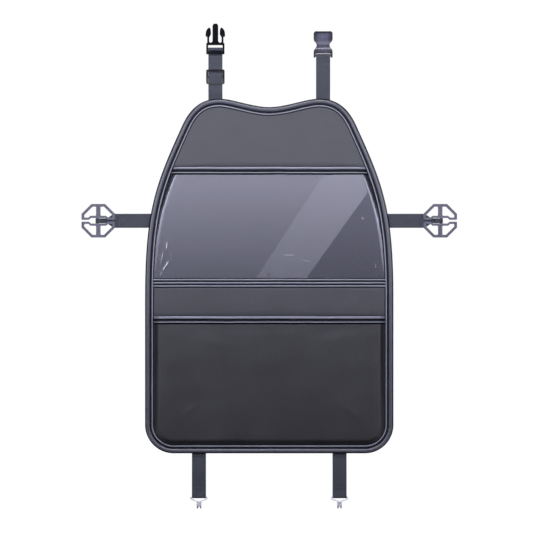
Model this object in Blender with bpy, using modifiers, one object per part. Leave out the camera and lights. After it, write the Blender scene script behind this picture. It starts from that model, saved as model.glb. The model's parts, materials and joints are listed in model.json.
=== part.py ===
"""A car seat back organizer: a padded kick panel with a clear tablet window and a lower pocket.

The panel hangs on the back of a front seat. Two straps with the halves of a side release buckle
go round the headrest, two side straps end in slotted anchor discs, and two lower straps end in
bent wire hooks. Metres, +Z up. The front of the panel faces -Y, its back lies in the plane y = 0,
and the origin is at mid-height of the panel. A depth below is a distance in front of that back.
"""

import math

import bmesh
import bpy
from mathutils import Vector

# Panel outline
PANEL_WIDTH = 0.452
PANEL_HEIGHT = 0.6454
TOP_DIP = 0.0153
TOP_DIP_HANDLE = 0.0306
CREST_SPACING = 0.1808
CREST_INNER_HANDLE = 0.0231
CREST_OUTER_HANDLE = 0.0335
SHOULDER_SPACING = 0.3163
SHOULDER_DROP = 0.0485
SHOULDER_SLOPE = math.radians(24.6)
SHOULDER_UPPER_HANDLE = 0.0341
SHOULDER_LOWER_HANDLE = 0.1173
SIDE_JOIN_DROP = 0.363
SIDE_HANDLE = 0.160
BOTTOM_CORNER_RADIUS = 0.052

# Layers of the panel, and the small gap that separate pieces keep
GAP = 0.0003
BACKING_THICKNESS = 0.0008
BOARD_THICKNESS = 0.0020
FACE_THICKNESS = 0.0010
FILM_THICKNESS = 0.0008
POCKET_THICKNESS = 0.0012

# Edge binding: a round bead, a groove and a thin stitched ridge
BEAD_RADIUS = 0.00475
BINDING_SLOT_INSET = 0.0055
BINDING_BACK_WIDTH = 0.0128
BINDING_FRONT_WIDTH = 0.0145
BINDING_LEG = 0.0010
BINDING_RIDGE_RADIUS = 0.0013
SEWN_EDGE_INSET = 0.0060

# Pockets
FILM_BULGE = 0.009
POCKET_BULGE = 0.014
RISE_LENGTH = 0.025
WINDOW_DROP = 0.1237
WINDOW_HEIGHT = 0.2029
WINDOW_SEAM_WIDTH = 0.0101
POCKET_DROP = 0.3950
HEM_HEIGHT = 0.0150
HEM_BEAD_RADIUS = 0.0027
HEM_RIDGE_RADIUS = 0.0011
HEM_RIDGE_DROP = 0.0113
HEM_LEG = 0.0009
HEM_BACK_LEG = 0.0006
HEM_BACK_HEIGHT = 0.0070
TRIM_HEIGHT = 0.0171
TRIM_RIDGE_RADIUS = 0.0014
TRIM_RIDGE_COUNT = 3

# Where a ring stands between the seam and the top of a pocket's rise, as shares of the rise
RISE_SHARES = (0.0, 0.05, 0.13, 0.25, 0.42, 0.66, 1.0)

# Webbing
STRAP_WIDTH = 0.025
STRAP_THICKNESS = 0.0012
STRAP_DEPTH = 0.0018
STRAP_SEWN_LENGTH = 0.020
STRAP_EDGE_GAP = 0.0005
STRAP_SLIT_MARGIN = 0.002
STRAP_EXIT = 0.001
STRAP_EASE_LENGTH = 0.015
UPPER_STRAP_SPACING = 0.196
LOWER_STRAP_SPACING = 0.256
SIDE_STRAP_DROP = 0.2222
SEWN_TAIL = 0.018
LOOP_SETTLE_LENGTH = 0.013
SLIDER_EASE_LENGTH = 0.013
BUCKLE_FRONT_TURN = 0.0009
BUCKLE_BACK_TURN = 0.0015

# Male half of the side release buckle, on the left upper strap
MALE_BAR_ABOVE_SLIDER = 0.0502
MALE_DEPTH = 0.0062
MALE_BAR_RADIUS = 0.0016
MALE_WIDTH = 0.0332
MALE_THICKNESS = 0.0040
MALE_RAIL = 0.0035
MALE_BASE_TOP = 0.0115
MALE_BASE_BOTTOM = 0.0094
MALE_SLOT_TOP = 0.0072
MALE_LOWER_BAR_TOP = 0.0034
MALE_CORNER_RADIUS = 0.0009
BASE_ARCH = 0.0010
ARM_INSET = 0.0018
ARM_WIDTH = 0.0036
PRONG_LENGTH = 0.0464
PRONG_FOOT_WIDTH = 0.0136
PRONG_NECK_WIDTH = 0.0104
PRONG_TIP_WIDTH = 0.0060
BARB_FOOT = 0.0230
BARB_TOP = 0.0393
BARB_SPREAD = 0.0354
BARB_WIDTH = 0.0097
BARB_TIP_X = 0.0108

# Female half, on the right upper strap
FEMALE_BAR_ABOVE_PANEL = 0.0783
FEMALE_DEPTH = 0.0046
FEMALE_BAR_RADIUS = 0.0018
FEMALE_WIDTH = 0.0345
FEMALE_WAIST = 0.0232
FEMALE_THICKNESS = 0.0090
FEMALE_TOP = 0.0441
FEMALE_LUG = 0.0035
FEMALE_LUG_LENGTH = 0.0038
FEMALE_CORNER_RADIUS = 0.0022
FEMALE_WEB_START = 0.0040
FEMALE_SHOULDER_START = 0.0066
FEMALE_WAIST_HEIGHT = 0.0192
FEMALE_FLARE_HEIGHT = 0.0300
FEMALE_TOP_CHAMFER = 0.0026
DISH_DEPTH = 0.0011
DISH_RADIUS = 0.0290
SOCKET_WIDTH = 0.0276
SOCKET_THICKNESS = 0.0052
SOCKET_FLOOR = 0.0085

# Slider on the left upper strap
SLIDER_ABOVE_PANEL = 0.0397
SLIDER_WIDTH = 0.0337
SLIDER_LENGTH = 0.0266
SLIDER_END_BAR = 0.0040
SLIDER_CENTRE_BAR = 0.0040
SLIDER_FRONT = 0.0020
SLIDER_BACK = 0.0016
SLIDER_CORNER_RADIUS = 0.003
TAIL_BELOW_SLIDER = 0.006

# Anchor discs
DISC_SPACING = 0.622
DISC_SIZE = 0.061
DISC_FLAT = 0.025
DISC_BAND = 0.0049
DISC_THICKNESS = 0.0032
DISC_SPOKE = 0.0080
DISC_RAIL = 0.0041
DISC_MOUTH = 0.0034
DISC_KEYHOLE_LENGTH = 0.027
DISC_KEYHOLE_HEIGHT = 0.010
DISC_KEYHOLE_TAPER = 0.0035
DISC_BAR_RADIUS = 0.0022
DISC_BAR_OFFSET = 0.0015
GATHERED_WIDTH = 0.0088
GATHER_START = 0.012
GATHER_END = 0.031
DISC_CORNER_RADIUS = 0.0016
DISC_RIM = 0.0013
DISC_RECESS = 0.0007
SPOKE_GROOVE_WIDTH = 0.0016
DIVE_START = 0.003
DIVE_END = 0.0125
SIDE_TAIL = 0.004

# Wire hooks
WIRE_RADIUS = 0.00125
HOOK_BAR_BELOW_PANEL = 0.0792
HOOK_BEND_RADIUS = 0.0015
HOOK_ARM_DROP = 0.0043
HOOK_NECK_DROP = 0.0076
HOOK_NECK_HALF_WIDTH = 0.0029
HOOK_NECK_BEND = 0.0018
HOOK_CURL_DROP = 0.0149
HOOK_CURL_RADIUS = 0.0061
HOOK_TIP_RISE = 0.0050
HOOK_BUTT_GAP = 0.0006

# What follows from the sizes above
BOARD_DEPTH = BACKING_THICKNESS + GAP
FACE_DEPTH = BOARD_DEPTH + BOARD_THICKNESS + GAP
FLANGE_DEPTH = FACE_DEPTH + FACE_THICKNESS + GAP
BINDING_FRONT_DEPTH = FLANGE_DEPTH + POCKET_THICKNESS + GAP
POCKET_SEAM_INSET = BINDING_FRONT_WIDTH + GAP
PANEL_TOP = PANEL_HEIGHT / 2
PANEL_BOTTOM = -PANEL_HEIGHT / 2
LAYER_STEP = STRAP_THICKNESS + GAP
BINDING_SLIT = STRAP_THICKNESS + 2 * GAP
WINDOW_TOP = PANEL_TOP - WINDOW_DROP
WINDOW_SEAM = WINDOW_TOP - WINDOW_HEIGHT
POCKET_TOP = PANEL_TOP - POCKET_DROP
SIDE_STRAP_HEIGHT = PANEL_TOP - SIDE_STRAP_DROP
SLIDER_HEIGHT = PANEL_TOP + SLIDER_ABOVE_PANEL
MALE_BAR_HEIGHT = SLIDER_HEIGHT + MALE_BAR_ABOVE_SLIDER
FEMALE_BAR_HEIGHT = PANEL_TOP + FEMALE_BAR_ABOVE_PANEL
HOOK_BAR_HEIGHT = PANEL_BOTTOM - HOOK_BAR_BELOW_PANEL

# Faces that meet at less than this angle are joined into one
FLAT_ANGLE = math.radians(0.2)

# An outline's corner that turns less than this belongs to a curve and isn't rounded
CURVE_TURN = math.radians(28)


def clear_scene():
    for obj in list(bpy.data.objects):
        bpy.data.objects.remove(obj, do_unlink=True)


def new_collection(name):
    collection = bpy.data.collections.new(name)
    bpy.context.scene.collection.children.link(collection)
    return collection


def new_material(name, colour, roughness, metallic=0.0, alpha=1.0):
    material = bpy.data.materials.new(name)
    material.use_nodes = True
    shader = material.node_tree.nodes["Principled BSDF"]
    shader.inputs["Base Color"].default_value = (*colour, 1.0)
    shader.inputs["Roughness"].default_value = roughness
    shader.inputs["Metallic"].default_value = metallic
    shader.inputs["Alpha"].default_value = alpha
    material.diffuse_color = (*colour, alpha)
    return material


clear_scene()
PARTS = new_collection("seat_back_organizer")
CUTTERS = new_collection("cutters")
LEATHERETTE = new_material("leatherette", (0.090, 0.092, 0.110), 0.45)
CLEAR_FILM = new_material("clear_film", (0.20, 0.21, 0.27), 0.15, alpha=0.5)
WEBBING = new_material("webbing", (0.075, 0.080, 0.105), 0.80)
BLACK_PLASTIC = new_material("black_plastic", (0.022, 0.022, 0.032), 0.35)
GREY_PLASTIC = new_material("grey_plastic", (0.13, 0.12, 0.19), 0.40)
STEEL_WIRE = new_material("steel_wire", (0.62, 0.62, 0.64), 0.22, metallic=1.0)
NONWOVEN = new_material("nonwoven", (0.030, 0.030, 0.034), 0.90)
BOARD = new_material("board", (0.16, 0.15, 0.14), 0.85)


def front_point(x, depth, z):
    """A point at a depth in front of the panel's back."""
    return Vector((x, -depth, z))


def add_part(name, mesh, material, collection=PARTS):
    mesh.materials.clear()
    mesh.materials.append(material)
    obj = bpy.data.objects.new(name, mesh)
    collection.objects.link(obj)
    return obj


def tidy_mesh(mesh):
    """Welds loose caps, joins the slivers of flat faces and turns every face outward."""
    work = bmesh.new()
    work.from_mesh(mesh)
    bmesh.ops.remove_doubles(work, verts=work.verts, dist=1e-6)
    bmesh.ops.dissolve_limit(
        work, angle_limit=FLAT_ANGLE, verts=work.verts, edges=work.edges
    )
    bmesh.ops.recalc_face_normals(work, faces=work.faces)
    work.to_mesh(mesh)
    work.free()


def curve_to_part(curve_object, name, material, collection=PARTS):
    """Turns a finished curve into a closed mesh part in the same place."""
    bpy.context.view_layer.update()
    evaluated = curve_object.evaluated_get(bpy.context.evaluated_depsgraph_get())
    mesh = bpy.data.meshes.new_from_object(evaluated)
    mesh.transform(curve_object.matrix_world)
    tidy_mesh(mesh)
    bpy.data.objects.remove(curve_object, do_unlink=True)
    return add_part(name, mesh, material, collection)


def poly_curve(name, loops, closed=True, dimensions="2D"):
    """A curve object of straight pieces, one spline for each loop of points."""
    data = bpy.data.curves.new(name, "CURVE")
    data.dimensions = dimensions
    for points in loops:
        spline = data.splines.new("POLY")
        spline.points.add(len(points) - 1)
        for target, point in zip(spline.points, points):
            target.co = (*point, 1.0) if len(point) == 3 else (*point, 0.0, 1.0)
        spline.use_cyclic_u = closed
    obj = bpy.data.objects.new(name, data)
    CUTTERS.objects.link(obj)
    return obj


def upright_plate(name, loops, depth, thickness, material, collection=PARTS):
    """A flat plate that faces the front. Loops are (x, z) outlines, holes among them."""
    plate = poly_curve(name, loops)
    plate.data.fill_mode = "BOTH"
    plate.data.extrude = thickness / 2
    plate.rotation_euler = (math.radians(90), 0, 0)
    plate.location = (0, -(depth + thickness / 2), 0)
    return curve_to_part(plate, name, material, collection)


def solid_from_sections(name, sections, material, collection=PARTS):
    """A loft through closed sections that have equally many points."""
    work = bmesh.new()
    rings = [[work.verts.new(point) for point in section] for section in sections]
    count = len(rings[0])
    for ring, following in zip(rings, rings[1:]):
        for index in range(count):
            other = (index + 1) % count
            work.faces.new((ring[index], ring[other], following[other], following[index]))
    work.faces.new(rings[0])
    work.faces.new(rings[-1])
    bmesh.ops.recalc_face_normals(work, faces=work.faces)
    mesh = bpy.data.meshes.new(name)
    work.to_mesh(mesh)
    work.free()
    return add_part(name, mesh, material, collection)


def add_thickness(obj, thickness):
    modifier = obj.modifiers.new("Thickness", "SOLIDIFY")
    modifier.thickness = thickness
    modifier.offset = 0.0
    modifier.use_even_offset = True


def add_bevel(obj, width, segments=2):
    modifier = obj.modifiers.new("Soft edges", "BEVEL")
    modifier.width = width
    modifier.segments = segments
    modifier.limit_method = "ANGLE"
    modifier.angle_limit = math.radians(35)


def boolean(obj, other, operation, solver="EXACT"):
    other.hide_render = True
    other.display_type = "WIRE"
    modifier = obj.modifiers.new(other.name, "BOOLEAN")
    modifier.operation = operation
    modifier.solver = solver
    modifier.object = other


def box(name, low, high):
    """A helper block between two corners."""
    mesh = bpy.data.meshes.new(name)
    work = bmesh.new()
    bmesh.ops.create_cube(work, size=1.0)
    for vert in work.verts:
        for axis in range(3):
            vert.co[axis] = low[axis] if vert.co[axis] < 0 else high[axis]
    work.to_mesh(mesh)
    work.free()
    obj = bpy.data.objects.new(name, mesh)
    CUTTERS.objects.link(obj)
    return obj


def rod(name, centre, radius, length, axis):
    """A helper cylinder along X or Z."""
    mesh = bpy.data.meshes.new(name)
    work = bmesh.new()
    bmesh.ops.create_cone(
        work, cap_ends=True, segments=16, radius1=radius, radius2=radius, depth=length
    )
    work.to_mesh(mesh)
    work.free()
    obj = bpy.data.objects.new(name, mesh)
    obj.location = centre
    if axis == "X":
        obj.rotation_euler = (0, math.radians(90), 0)
    CUTTERS.objects.link(obj)
    return obj


def shade_round(obj, angle=40):
    obj.data.shade_smooth()
    obj.data.set_sharp_from_angle(angle=math.radians(angle))


def arc(centre, radius, start, end, steps):
    """Points on an arc, ends included. Angles in degrees, from the first axis to the second."""
    points = []
    for step in range(steps + 1):
        angle = math.radians(start + (end - start) * step / steps)
        points.append((centre[0] + radius * math.cos(angle), centre[1] + radius * math.sin(angle)))
    return points


def bezier(start, handle_a, handle_b, end, steps):
    """Points on a cubic curve, without its last one."""
    points = []
    for step in range(steps):
        t = step / steps
        weights = ((1 - t) ** 3, 3 * t * (1 - t) ** 2, 3 * t * t * (1 - t), t**3)
        corners = (start, handle_a, handle_b, end)
        points.append(tuple(sum(w * c[axis] for w, c in zip(weights, corners)) for axis in (0, 1)))
    return points


def ease(start, end, steps):
    """Points of a flat S from one place to another, level at both ends along the second axis."""
    points = []
    for step in range(1, steps + 1):
        t = step / steps
        blend = t * t * (3 - 2 * t)
        points.append((start[0] + (end[0] - start[0]) * blend, start[1] + (end[1] - start[1]) * t))
    return points


def rounded(points, radius, steps=3):
    """The same outline with each sharp corner turned into an arc."""
    result = []
    count = len(points)
    for index in range(count):
        corner = Vector(points[index])
        before = Vector(points[index - 1]) - corner
        after = Vector(points[(index + 1) % count]) - corner
        if math.pi - before.angle(after) < CURVE_TURN:
            result.append(tuple(corner))
            continue
        half_angle = before.angle(after) / 2
        setback = min(radius / math.tan(half_angle), before.length * 0.45, after.length * 0.45)
        start = corner + before.normalized() * setback
        end = corner + after.normalized() * setback
        for step in range(steps + 1):
            t = step / steps
            point = start * (1 - t) ** 2 + corner * 2 * t * (1 - t) + end * t * t
            result.append(tuple(point))
    return result


def mirrored(points):
    """The right half of an outline, bottom to top, completed on the left."""
    return points + [(-x, z) for x, z in reversed(points) if abs(x) > 1e-9]


def right_edge():
    """The right half of the panel's outline, from the middle of the top to that of the bottom."""
    half = PANEL_WIDTH / 2
    dip = (0.0, PANEL_TOP - TOP_DIP)
    crest = (CREST_SPACING / 2, PANEL_TOP)
    shoulder = (SHOULDER_SPACING / 2, PANEL_TOP - SHOULDER_DROP)
    side = (half, PANEL_TOP - SIDE_JOIN_DROP)
    slope = (math.sin(SHOULDER_SLOPE), -math.cos(SHOULDER_SLOPE))
    upper = tuple(s - d * SHOULDER_UPPER_HANDLE for s, d in zip(shoulder, slope))
    lower = tuple(s + d * SHOULDER_LOWER_HANDLE for s, d in zip(shoulder, slope))
    points = bezier(dip, (TOP_DIP_HANDLE, dip[1]), (crest[0] - CREST_INNER_HANDLE, crest[1]), crest, 7)
    points += bezier(crest, (crest[0] + CREST_OUTER_HANDLE, crest[1]), upper, shoulder, 7)
    points += bezier(shoulder, lower, (half, side[1] + SIDE_HANDLE), side, 10)
    corner = (half - BOTTOM_CORNER_RADIUS, PANEL_BOTTOM + BOTTOM_CORNER_RADIUS)
    straight = side[1] - corner[1]
    points += [(half, side[1] - straight * step / 4) for step in range(4)]
    points += arc(corner, BOTTOM_CORNER_RADIUS, 0, -90, 8)
    points += [(corner[0] * 0.5, PANEL_BOTTOM), (0.0, PANEL_BOTTOM)]
    return points


RIGHT_EDGE = right_edge()


def inset_right_edge(inset):
    """The right half of the outline moved inward."""
    points = []
    count = len(RIGHT_EDGE)
    for index, (x, z) in enumerate(RIGHT_EDGE):
        before = RIGHT_EDGE[index - 1] if index else (-RIGHT_EDGE[1][0], RIGHT_EDGE[1][1])
        last = index == count - 1
        after = (-RIGHT_EDGE[-2][0], RIGHT_EDGE[-2][1]) if last else RIGHT_EDGE[index + 1]
        along = Vector((after[0] - before[0], after[1] - before[1])).normalized()
        points.append((x + along[1] * inset, z - along[0] * inset))
    return points


def panel_outline(inset=0.0):
    """The whole outline as (x, z), moved inward, anticlockwise from the bottom."""
    right = inset_right_edge(inset)
    return right[::-1] + [(-x, z) for x, z in right[1:-1]]


def half_width(z, inset):
    """Half the panel's width at a height below the crests, between its inset edges."""
    right = inset_right_edge(inset)
    widest_run = [point for point in right if point[0] > CREST_SPACING / 2 - inset]
    for upper, lower in zip(widest_run, widest_run[1:]):
        if upper[1] >= z >= lower[1]:
            t = (upper[1] - z) / max(upper[1] - lower[1], 1e-9)
            return upper[0] + (lower[0] - upper[0]) * t
    raise ValueError(f"no panel edge at height {z}")


def rise(inset, bulge):
    """How far a pocket stands off its seam, at an inset from the panel's edge."""
    t = min(max((inset - POCKET_SEAM_INSET) / RISE_LENGTH, 0.0), 1.0)
    return bulge * math.sin(t * math.pi / 2)


def strap_slit(name, axis, edge, across, side):
    """The slit in the binding's bead, and the notch in the board, that a strap's end passes."""
    reach = STRAP_SEWN_LENGTH + STRAP_SLIT_MARGIN
    half = STRAP_WIDTH / 2 + STRAP_EDGE_GAP
    near, far = sorted((edge - side * reach, edge + side * reach))
    depths = (STRAP_DEPTH - BINDING_SLIT / 2, STRAP_DEPTH + BINDING_SLIT / 2)
    notch_depths = (BOARD_DEPTH - GAP, FACE_DEPTH - GAP / 2)
    cutters = []
    for kind, (back, front) in (("slit", depths), ("notch", notch_depths)):
        if axis == "Z":
            low = (across - half, -front, near)
            high = (across + half, -back, far)
        else:
            low = (near, -front, across - half)
            high = (far, -back, across + half)
        cutters.append(box(f"{name}_{kind}", low, high))
    return cutters


def strap_openings():
    """One slit and one notch for each of the six straps."""
    side_edge = half_width(SIDE_STRAP_HEIGHT, 0.0)
    openings = []
    for side, word in ((-1, "left"), (1, "right")):
        upper = side * UPPER_STRAP_SPACING / 2
        lower = side * LOWER_STRAP_SPACING / 2
        openings.append(strap_slit(f"upper_{word}", "Z", PANEL_TOP, upper, 1))
        openings.append(strap_slit(f"lower_{word}", "Z", PANEL_BOTTOM, lower, -1))
        openings.append(strap_slit(f"side_{word}", "X", side * side_edge, SIDE_STRAP_HEIGHT, side))
    return openings


def make_panel(openings):
    """The backing, the stiffening board, the face and the binding that holds their edges."""
    backing_inset = BINDING_BACK_WIDTH + STRAP_EDGE_GAP
    upright_plate(
        "backing_sheet", [panel_outline(backing_inset)], 0.0, BACKING_THICKNESS, NONWOVEN
    )
    sewn = panel_outline(SEWN_EDGE_INSET)
    board = upright_plate("stiffener_board", [sewn], BOARD_DEPTH, BOARD_THICKNESS, BOARD)
    upright_plate("face_sheet", [sewn], FACE_DEPTH, FACE_THICKNESS, LEATHERETTE)
    binding = make_binding()
    for slit, notch in openings:
        boolean(binding, slit, "DIFFERENCE")
        boolean(board, notch, "DIFFERENCE")


def binding_profile():
    """The binding's section as (inset, depth)."""
    centre = (BEAD_RADIUS, BEAD_RADIUS)
    front = BINDING_FRONT_DEPTH + BINDING_LEG
    groove_angle = math.degrees(math.asin((front - BEAD_RADIUS) / BEAD_RADIUS))
    ridge_centre = (BINDING_FRONT_WIDTH - BINDING_RIDGE_RADIUS, front)
    points = [
        (BINDING_SLOT_INSET, BACKING_THICKNESS),
        (BINDING_BACK_WIDTH, BACKING_THICKNESS),
        (BINDING_BACK_WIDTH, 0.0),
    ]
    points += arc(centre, BEAD_RADIUS, -90, groove_angle - 360, 11)
    points += arc(ridge_centre, BINDING_RIDGE_RADIUS, 180, 0, 4)
    points += [
        (BINDING_FRONT_WIDTH, BINDING_FRONT_DEPTH),
        (BINDING_SLOT_INSET, BINDING_FRONT_DEPTH),
    ]
    return points


def make_binding():
    """One strip of binding swept round the panel's edge."""
    profile = poly_curve("binding_profile", [binding_profile()])
    path = poly_curve("edge_binding", [panel_outline()])
    path.data.fill_mode = "NONE"
    path.data.bevel_mode = "OBJECT"
    path.data.bevel_object = profile
    path.rotation_euler = (math.radians(90), 0, 0)
    binding = curve_to_part(path, "edge_binding", LEATHERETTE)
    bpy.data.objects.remove(profile, do_unlink=True)
    shade_round(binding)
    return binding


def ring_insets():
    """Insets of the rings of a pocket's surface, close together where it rises."""
    return [SEWN_EDGE_INSET] + [POCKET_SEAM_INSET + RISE_LENGTH * share for share in RISE_SHARES]


def window_ring(inset, top):
    """A U along the window's seams, from its top left corner to its top right one."""
    beyond_seam = inset - POCKET_SEAM_INSET
    bottom = WINDOW_SEAM + beyond_seam
    if beyond_seam < 0:
        bottom = WINDOW_SEAM - WINDOW_SEAM_WIDTH
    heights = [top + (bottom - top) * step / 6 for step in range(7)]
    side = [(half_width(z, inset), z) for z in heights]
    across = [(side[-1][0] * share, bottom) for share in (0.5, 0.0)]
    right = side + across
    return [(-x, z) for x, z in right[:-1]] + right[::-1]


def pocket_ring(inset, top):
    """A U along the lower pocket's seams, round the panel's bottom corners."""
    below = [index for index, point in enumerate(RIGHT_EDGE) if point[1] < top and point[0] > 0]
    edge = inset_right_edge(inset)
    lower = [edge[index] for index in below]
    right = [(half_width(top, inset), top)] + lower + [(0.0, edge[-1][1])]
    return [(-x, z) for x, z in right[:-1]] + right[::-1]


def make_pocket_front(name, ring, top, bulge, thickness, material):
    """A sheet sewn flat along its seams, which stands off the panel between them."""
    seam_depth = FLANGE_DEPTH + thickness / 2
    work = bmesh.new()
    rings = []
    for inset in ring_insets():
        depth = seam_depth + rise(inset, bulge)
        rings.append([work.verts.new(front_point(x, depth, z)) for x, z in ring(inset, top)])
    for outer, inner in zip(rings, rings[1:]):
        for index in range(len(outer) - 1):
            work.faces.new((outer[index], outer[index + 1], inner[index + 1], inner[index]))
    work.faces.new(rings[-1])
    bmesh.ops.recalc_face_normals(work, faces=work.faces)
    mesh = bpy.data.meshes.new(name)
    work.to_mesh(mesh)
    work.free()
    sheet = add_part(name, mesh, material)
    add_thickness(sheet, thickness)
    shade_round(sheet)
    return sheet


def hem_profile(sheet_thickness):
    """The section of a mouth hem as (distance in front of the sheet, height below its top)."""
    slot = sheet_thickness / 2 + GAP
    front = slot + HEM_LEG
    back = slot + HEM_BACK_LEG
    bead_centre = (front - HEM_BEAD_RADIUS * 0.45, -HEM_BEAD_RADIUS)
    start = -math.degrees(math.acos((front - bead_centre[0]) / HEM_BEAD_RADIUS))
    end = math.degrees(math.acos((-back - bead_centre[0]) / HEM_BEAD_RADIUS))
    slot_top = -2 * HEM_BEAD_RADIUS + GAP
    points = [(slot, -HEM_HEIGHT), (front, -HEM_HEIGHT)]
    points += arc((front, -HEM_RIDGE_DROP), HEM_RIDGE_RADIUS, -90, 90, 5)
    points += arc(bead_centre, HEM_BEAD_RADIUS, start, end, 8)
    points += [(-back, -HEM_BACK_HEIGHT), (-slot, -HEM_BACK_HEIGHT)]
    points += [(-slot, slot_top), (slot, slot_top)]
    return points


def hem_stations(bulge, sheet_thickness):
    """Insets at which a hem's section is placed, from its end beside the binding inward."""
    behind = sheet_thickness / 2 + 2 * GAP + HEM_BACK_LEG
    free_depth = FACE_DEPTH + FACE_THICKNESS + GAP - FLANGE_DEPTH - sheet_thickness / 2
    needed = behind + free_depth
    end = POCKET_SEAM_INSET + RISE_LENGTH * math.asin(needed / bulge) * 2 / math.pi
    return [end] + [inset for inset in ring_insets() if inset > end + 0.0005]


def make_hem(name, top, bulge, sheet_thickness, material):
    """A rolled and stitched hem over the mouth of a pocket, from binding to binding."""
    profile = hem_profile(sheet_thickness)
    seam_depth = FLANGE_DEPTH + sheet_thickness / 2
    stations = hem_stations(bulge, sheet_thickness)
    sections = []
    for side, insets in ((-1, stations), (1, stations[::-1])):
        for inset in insets:
            depth = seam_depth + rise(inset, bulge)
            section = []
            for forward, drop in profile:
                x = side * half_width(top + drop, inset)
                section.append(front_point(x, depth + forward, top + drop))
            sections.append(section)
    hem = solid_from_sections(name, sections, material)
    shade_round(hem)
    return hem


def make_window_trim():
    """The strip with three ridges over the window's lower seam."""
    back = FLANGE_DEPTH + FILM_THICKNESS + GAP
    front = back + BINDING_LEG
    bottom = WINDOW_SEAM - TRIM_HEIGHT
    pitch = TRIM_HEIGHT / TRIM_RIDGE_COUNT
    profile = [(back, bottom), (front, bottom)]
    for ridge in range(TRIM_RIDGE_COUNT):
        centre = (front, bottom + pitch * (ridge + 0.5))
        profile += arc(centre, TRIM_RIDGE_RADIUS, -90, 90, 5)
    profile += [(front, WINDOW_SEAM), (back, WINDOW_SEAM)]
    sections = []
    for side in (-1, 1):
        section = []
        for depth, z in profile:
            x = side * half_width(z, POCKET_SEAM_INSET)
            section.append(front_point(x, depth, z))
        sections.append(section)
    shade_round(solid_from_sections("window_lower_trim", sections, LEATHERETTE))


def make_pockets():
    film_top = WINDOW_TOP - 2 * HEM_BEAD_RADIUS
    make_pocket_front(
        "tablet_window", window_ring, film_top, FILM_BULGE, FILM_THICKNESS, CLEAR_FILM
    )
    make_hem("window_mouth_hem", WINDOW_TOP, FILM_BULGE, FILM_THICKNESS, LEATHERETTE)
    make_window_trim()
    pocket_top = POCKET_TOP - 2 * HEM_BEAD_RADIUS
    make_pocket_front(
        "lower_pocket", pocket_ring, pocket_top, POCKET_BULGE, POCKET_THICKNESS, LEATHERETTE
    )
    make_hem("pocket_mouth_hem", POCKET_TOP, POCKET_BULGE, POCKET_THICKNESS, LEATHERETTE)


def make_ribbon(name, stations, across):
    """A strap along a path. Each station is its middle and its width there."""
    work = bmesh.new()
    rows = []
    for centre, width in stations:
        offset = across * (width / 2)
        rows.append((work.verts.new(centre - offset), work.verts.new(centre + offset)))
    for first, second in zip(rows, rows[1:]):
        work.faces.new((first[0], first[1], second[1], second[0]))
    mesh = bpy.data.meshes.new(name)
    work.to_mesh(mesh)
    work.free()
    strap = add_part(name, mesh, WEBBING)
    add_thickness(strap, STRAP_THICKNESS)
    shade_round(strap, 60)
    return strap


def upright_ribbon(name, x, path):
    """A strap of full width whose path is given as (depth, z)."""
    stations = [(front_point(x, depth, z), STRAP_WIDTH) for depth, z in path]
    return make_ribbon(name, stations, Vector((1, 0, 0)))


def bar_loop_radius(bar_radius):
    return bar_radius + GAP + STRAP_THICKNESS / 2


def make_upper_left_strap():
    """Up behind the buckle's lower bar, over its middle bar, and down behind through the slider."""
    depth = slider_strap_depth()
    tail_depth = depth - LAYER_STEP
    loop = bar_loop_radius(MALE_BAR_RADIUS)
    bar = (MALE_DEPTH, MALE_BAR_HEIGHT)
    turn = BUCKLE_FRONT_TURN
    turn_centre = (depth + turn, MALE_BAR_HEIGHT - loop - turn)
    path = [(STRAP_DEPTH, PANEL_TOP - STRAP_SEWN_LENGTH), (STRAP_DEPTH, PANEL_TOP + STRAP_EXIT)]
    path += ease(path[-1], (depth, PANEL_TOP + SLIDER_EASE_LENGTH), 6)
    path += arc(turn_centre, turn, 180, 90, 4)
    path += arc(bar, loop, -90, 90, 12)
    back_turn = BUCKLE_BACK_TURN
    path += arc((tail_depth + back_turn, MALE_BAR_HEIGHT + loop - back_turn), back_turn, 90, 180, 5)
    path.append((tail_depth, SLIDER_HEIGHT - SLIDER_LENGTH / 2 - TAIL_BELOW_SLIDER))
    upright_ribbon("upper_strap_left", -UPPER_STRAP_SPACING / 2, path)


def make_looped_strap(name, x, edge, outward, bar, bar_radius):
    """A strap that runs out from the panel, round a bar and back behind itself, where it is sewn."""
    depth = bar[0] + LAYER_STEP / 2
    loop = bar_loop_radius(bar_radius)
    settle = bar[1] - outward * LOOP_SETTLE_LENGTH
    path = [
        (STRAP_DEPTH, edge - outward * STRAP_SEWN_LENGTH),
        (STRAP_DEPTH, edge + outward * STRAP_EXIT),
    ]
    path += ease(path[-1], (depth, edge + outward * STRAP_EASE_LENGTH), 6)
    path.append((depth, settle))
    path += ease(path[-1], (bar[0] + loop, bar[1]), 5)[:-1]
    path += arc(bar, loop, 0, 180 * outward, 12)
    path += ease((bar[0] - loop, bar[1]), (bar[0] - LAYER_STEP / 2, settle), 5)
    path.append((bar[0] - LAYER_STEP / 2, settle - outward * SEWN_TAIL))
    upright_ribbon(name, x, path)


def gathered_width(distance):
    """The side strap's width at a distance from the disc's middle, towards the panel."""
    t = min(max((distance - GATHER_START) / (GATHER_END - GATHER_START), 0.0), 1.0)
    return GATHERED_WIDTH + (STRAP_WIDTH - GATHERED_WIDTH) * t * t * (3 - 2 * t)


def disc_bar_depth():
    return STRAP_DEPTH + bar_loop_radius(DISC_BAR_RADIUS)


def disc_back_depth():
    """The disc's plate lies in front of both layers of its strap."""
    return STRAP_DEPTH + LAYER_STEP + STRAP_THICKNESS / 2 + GAP


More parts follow.
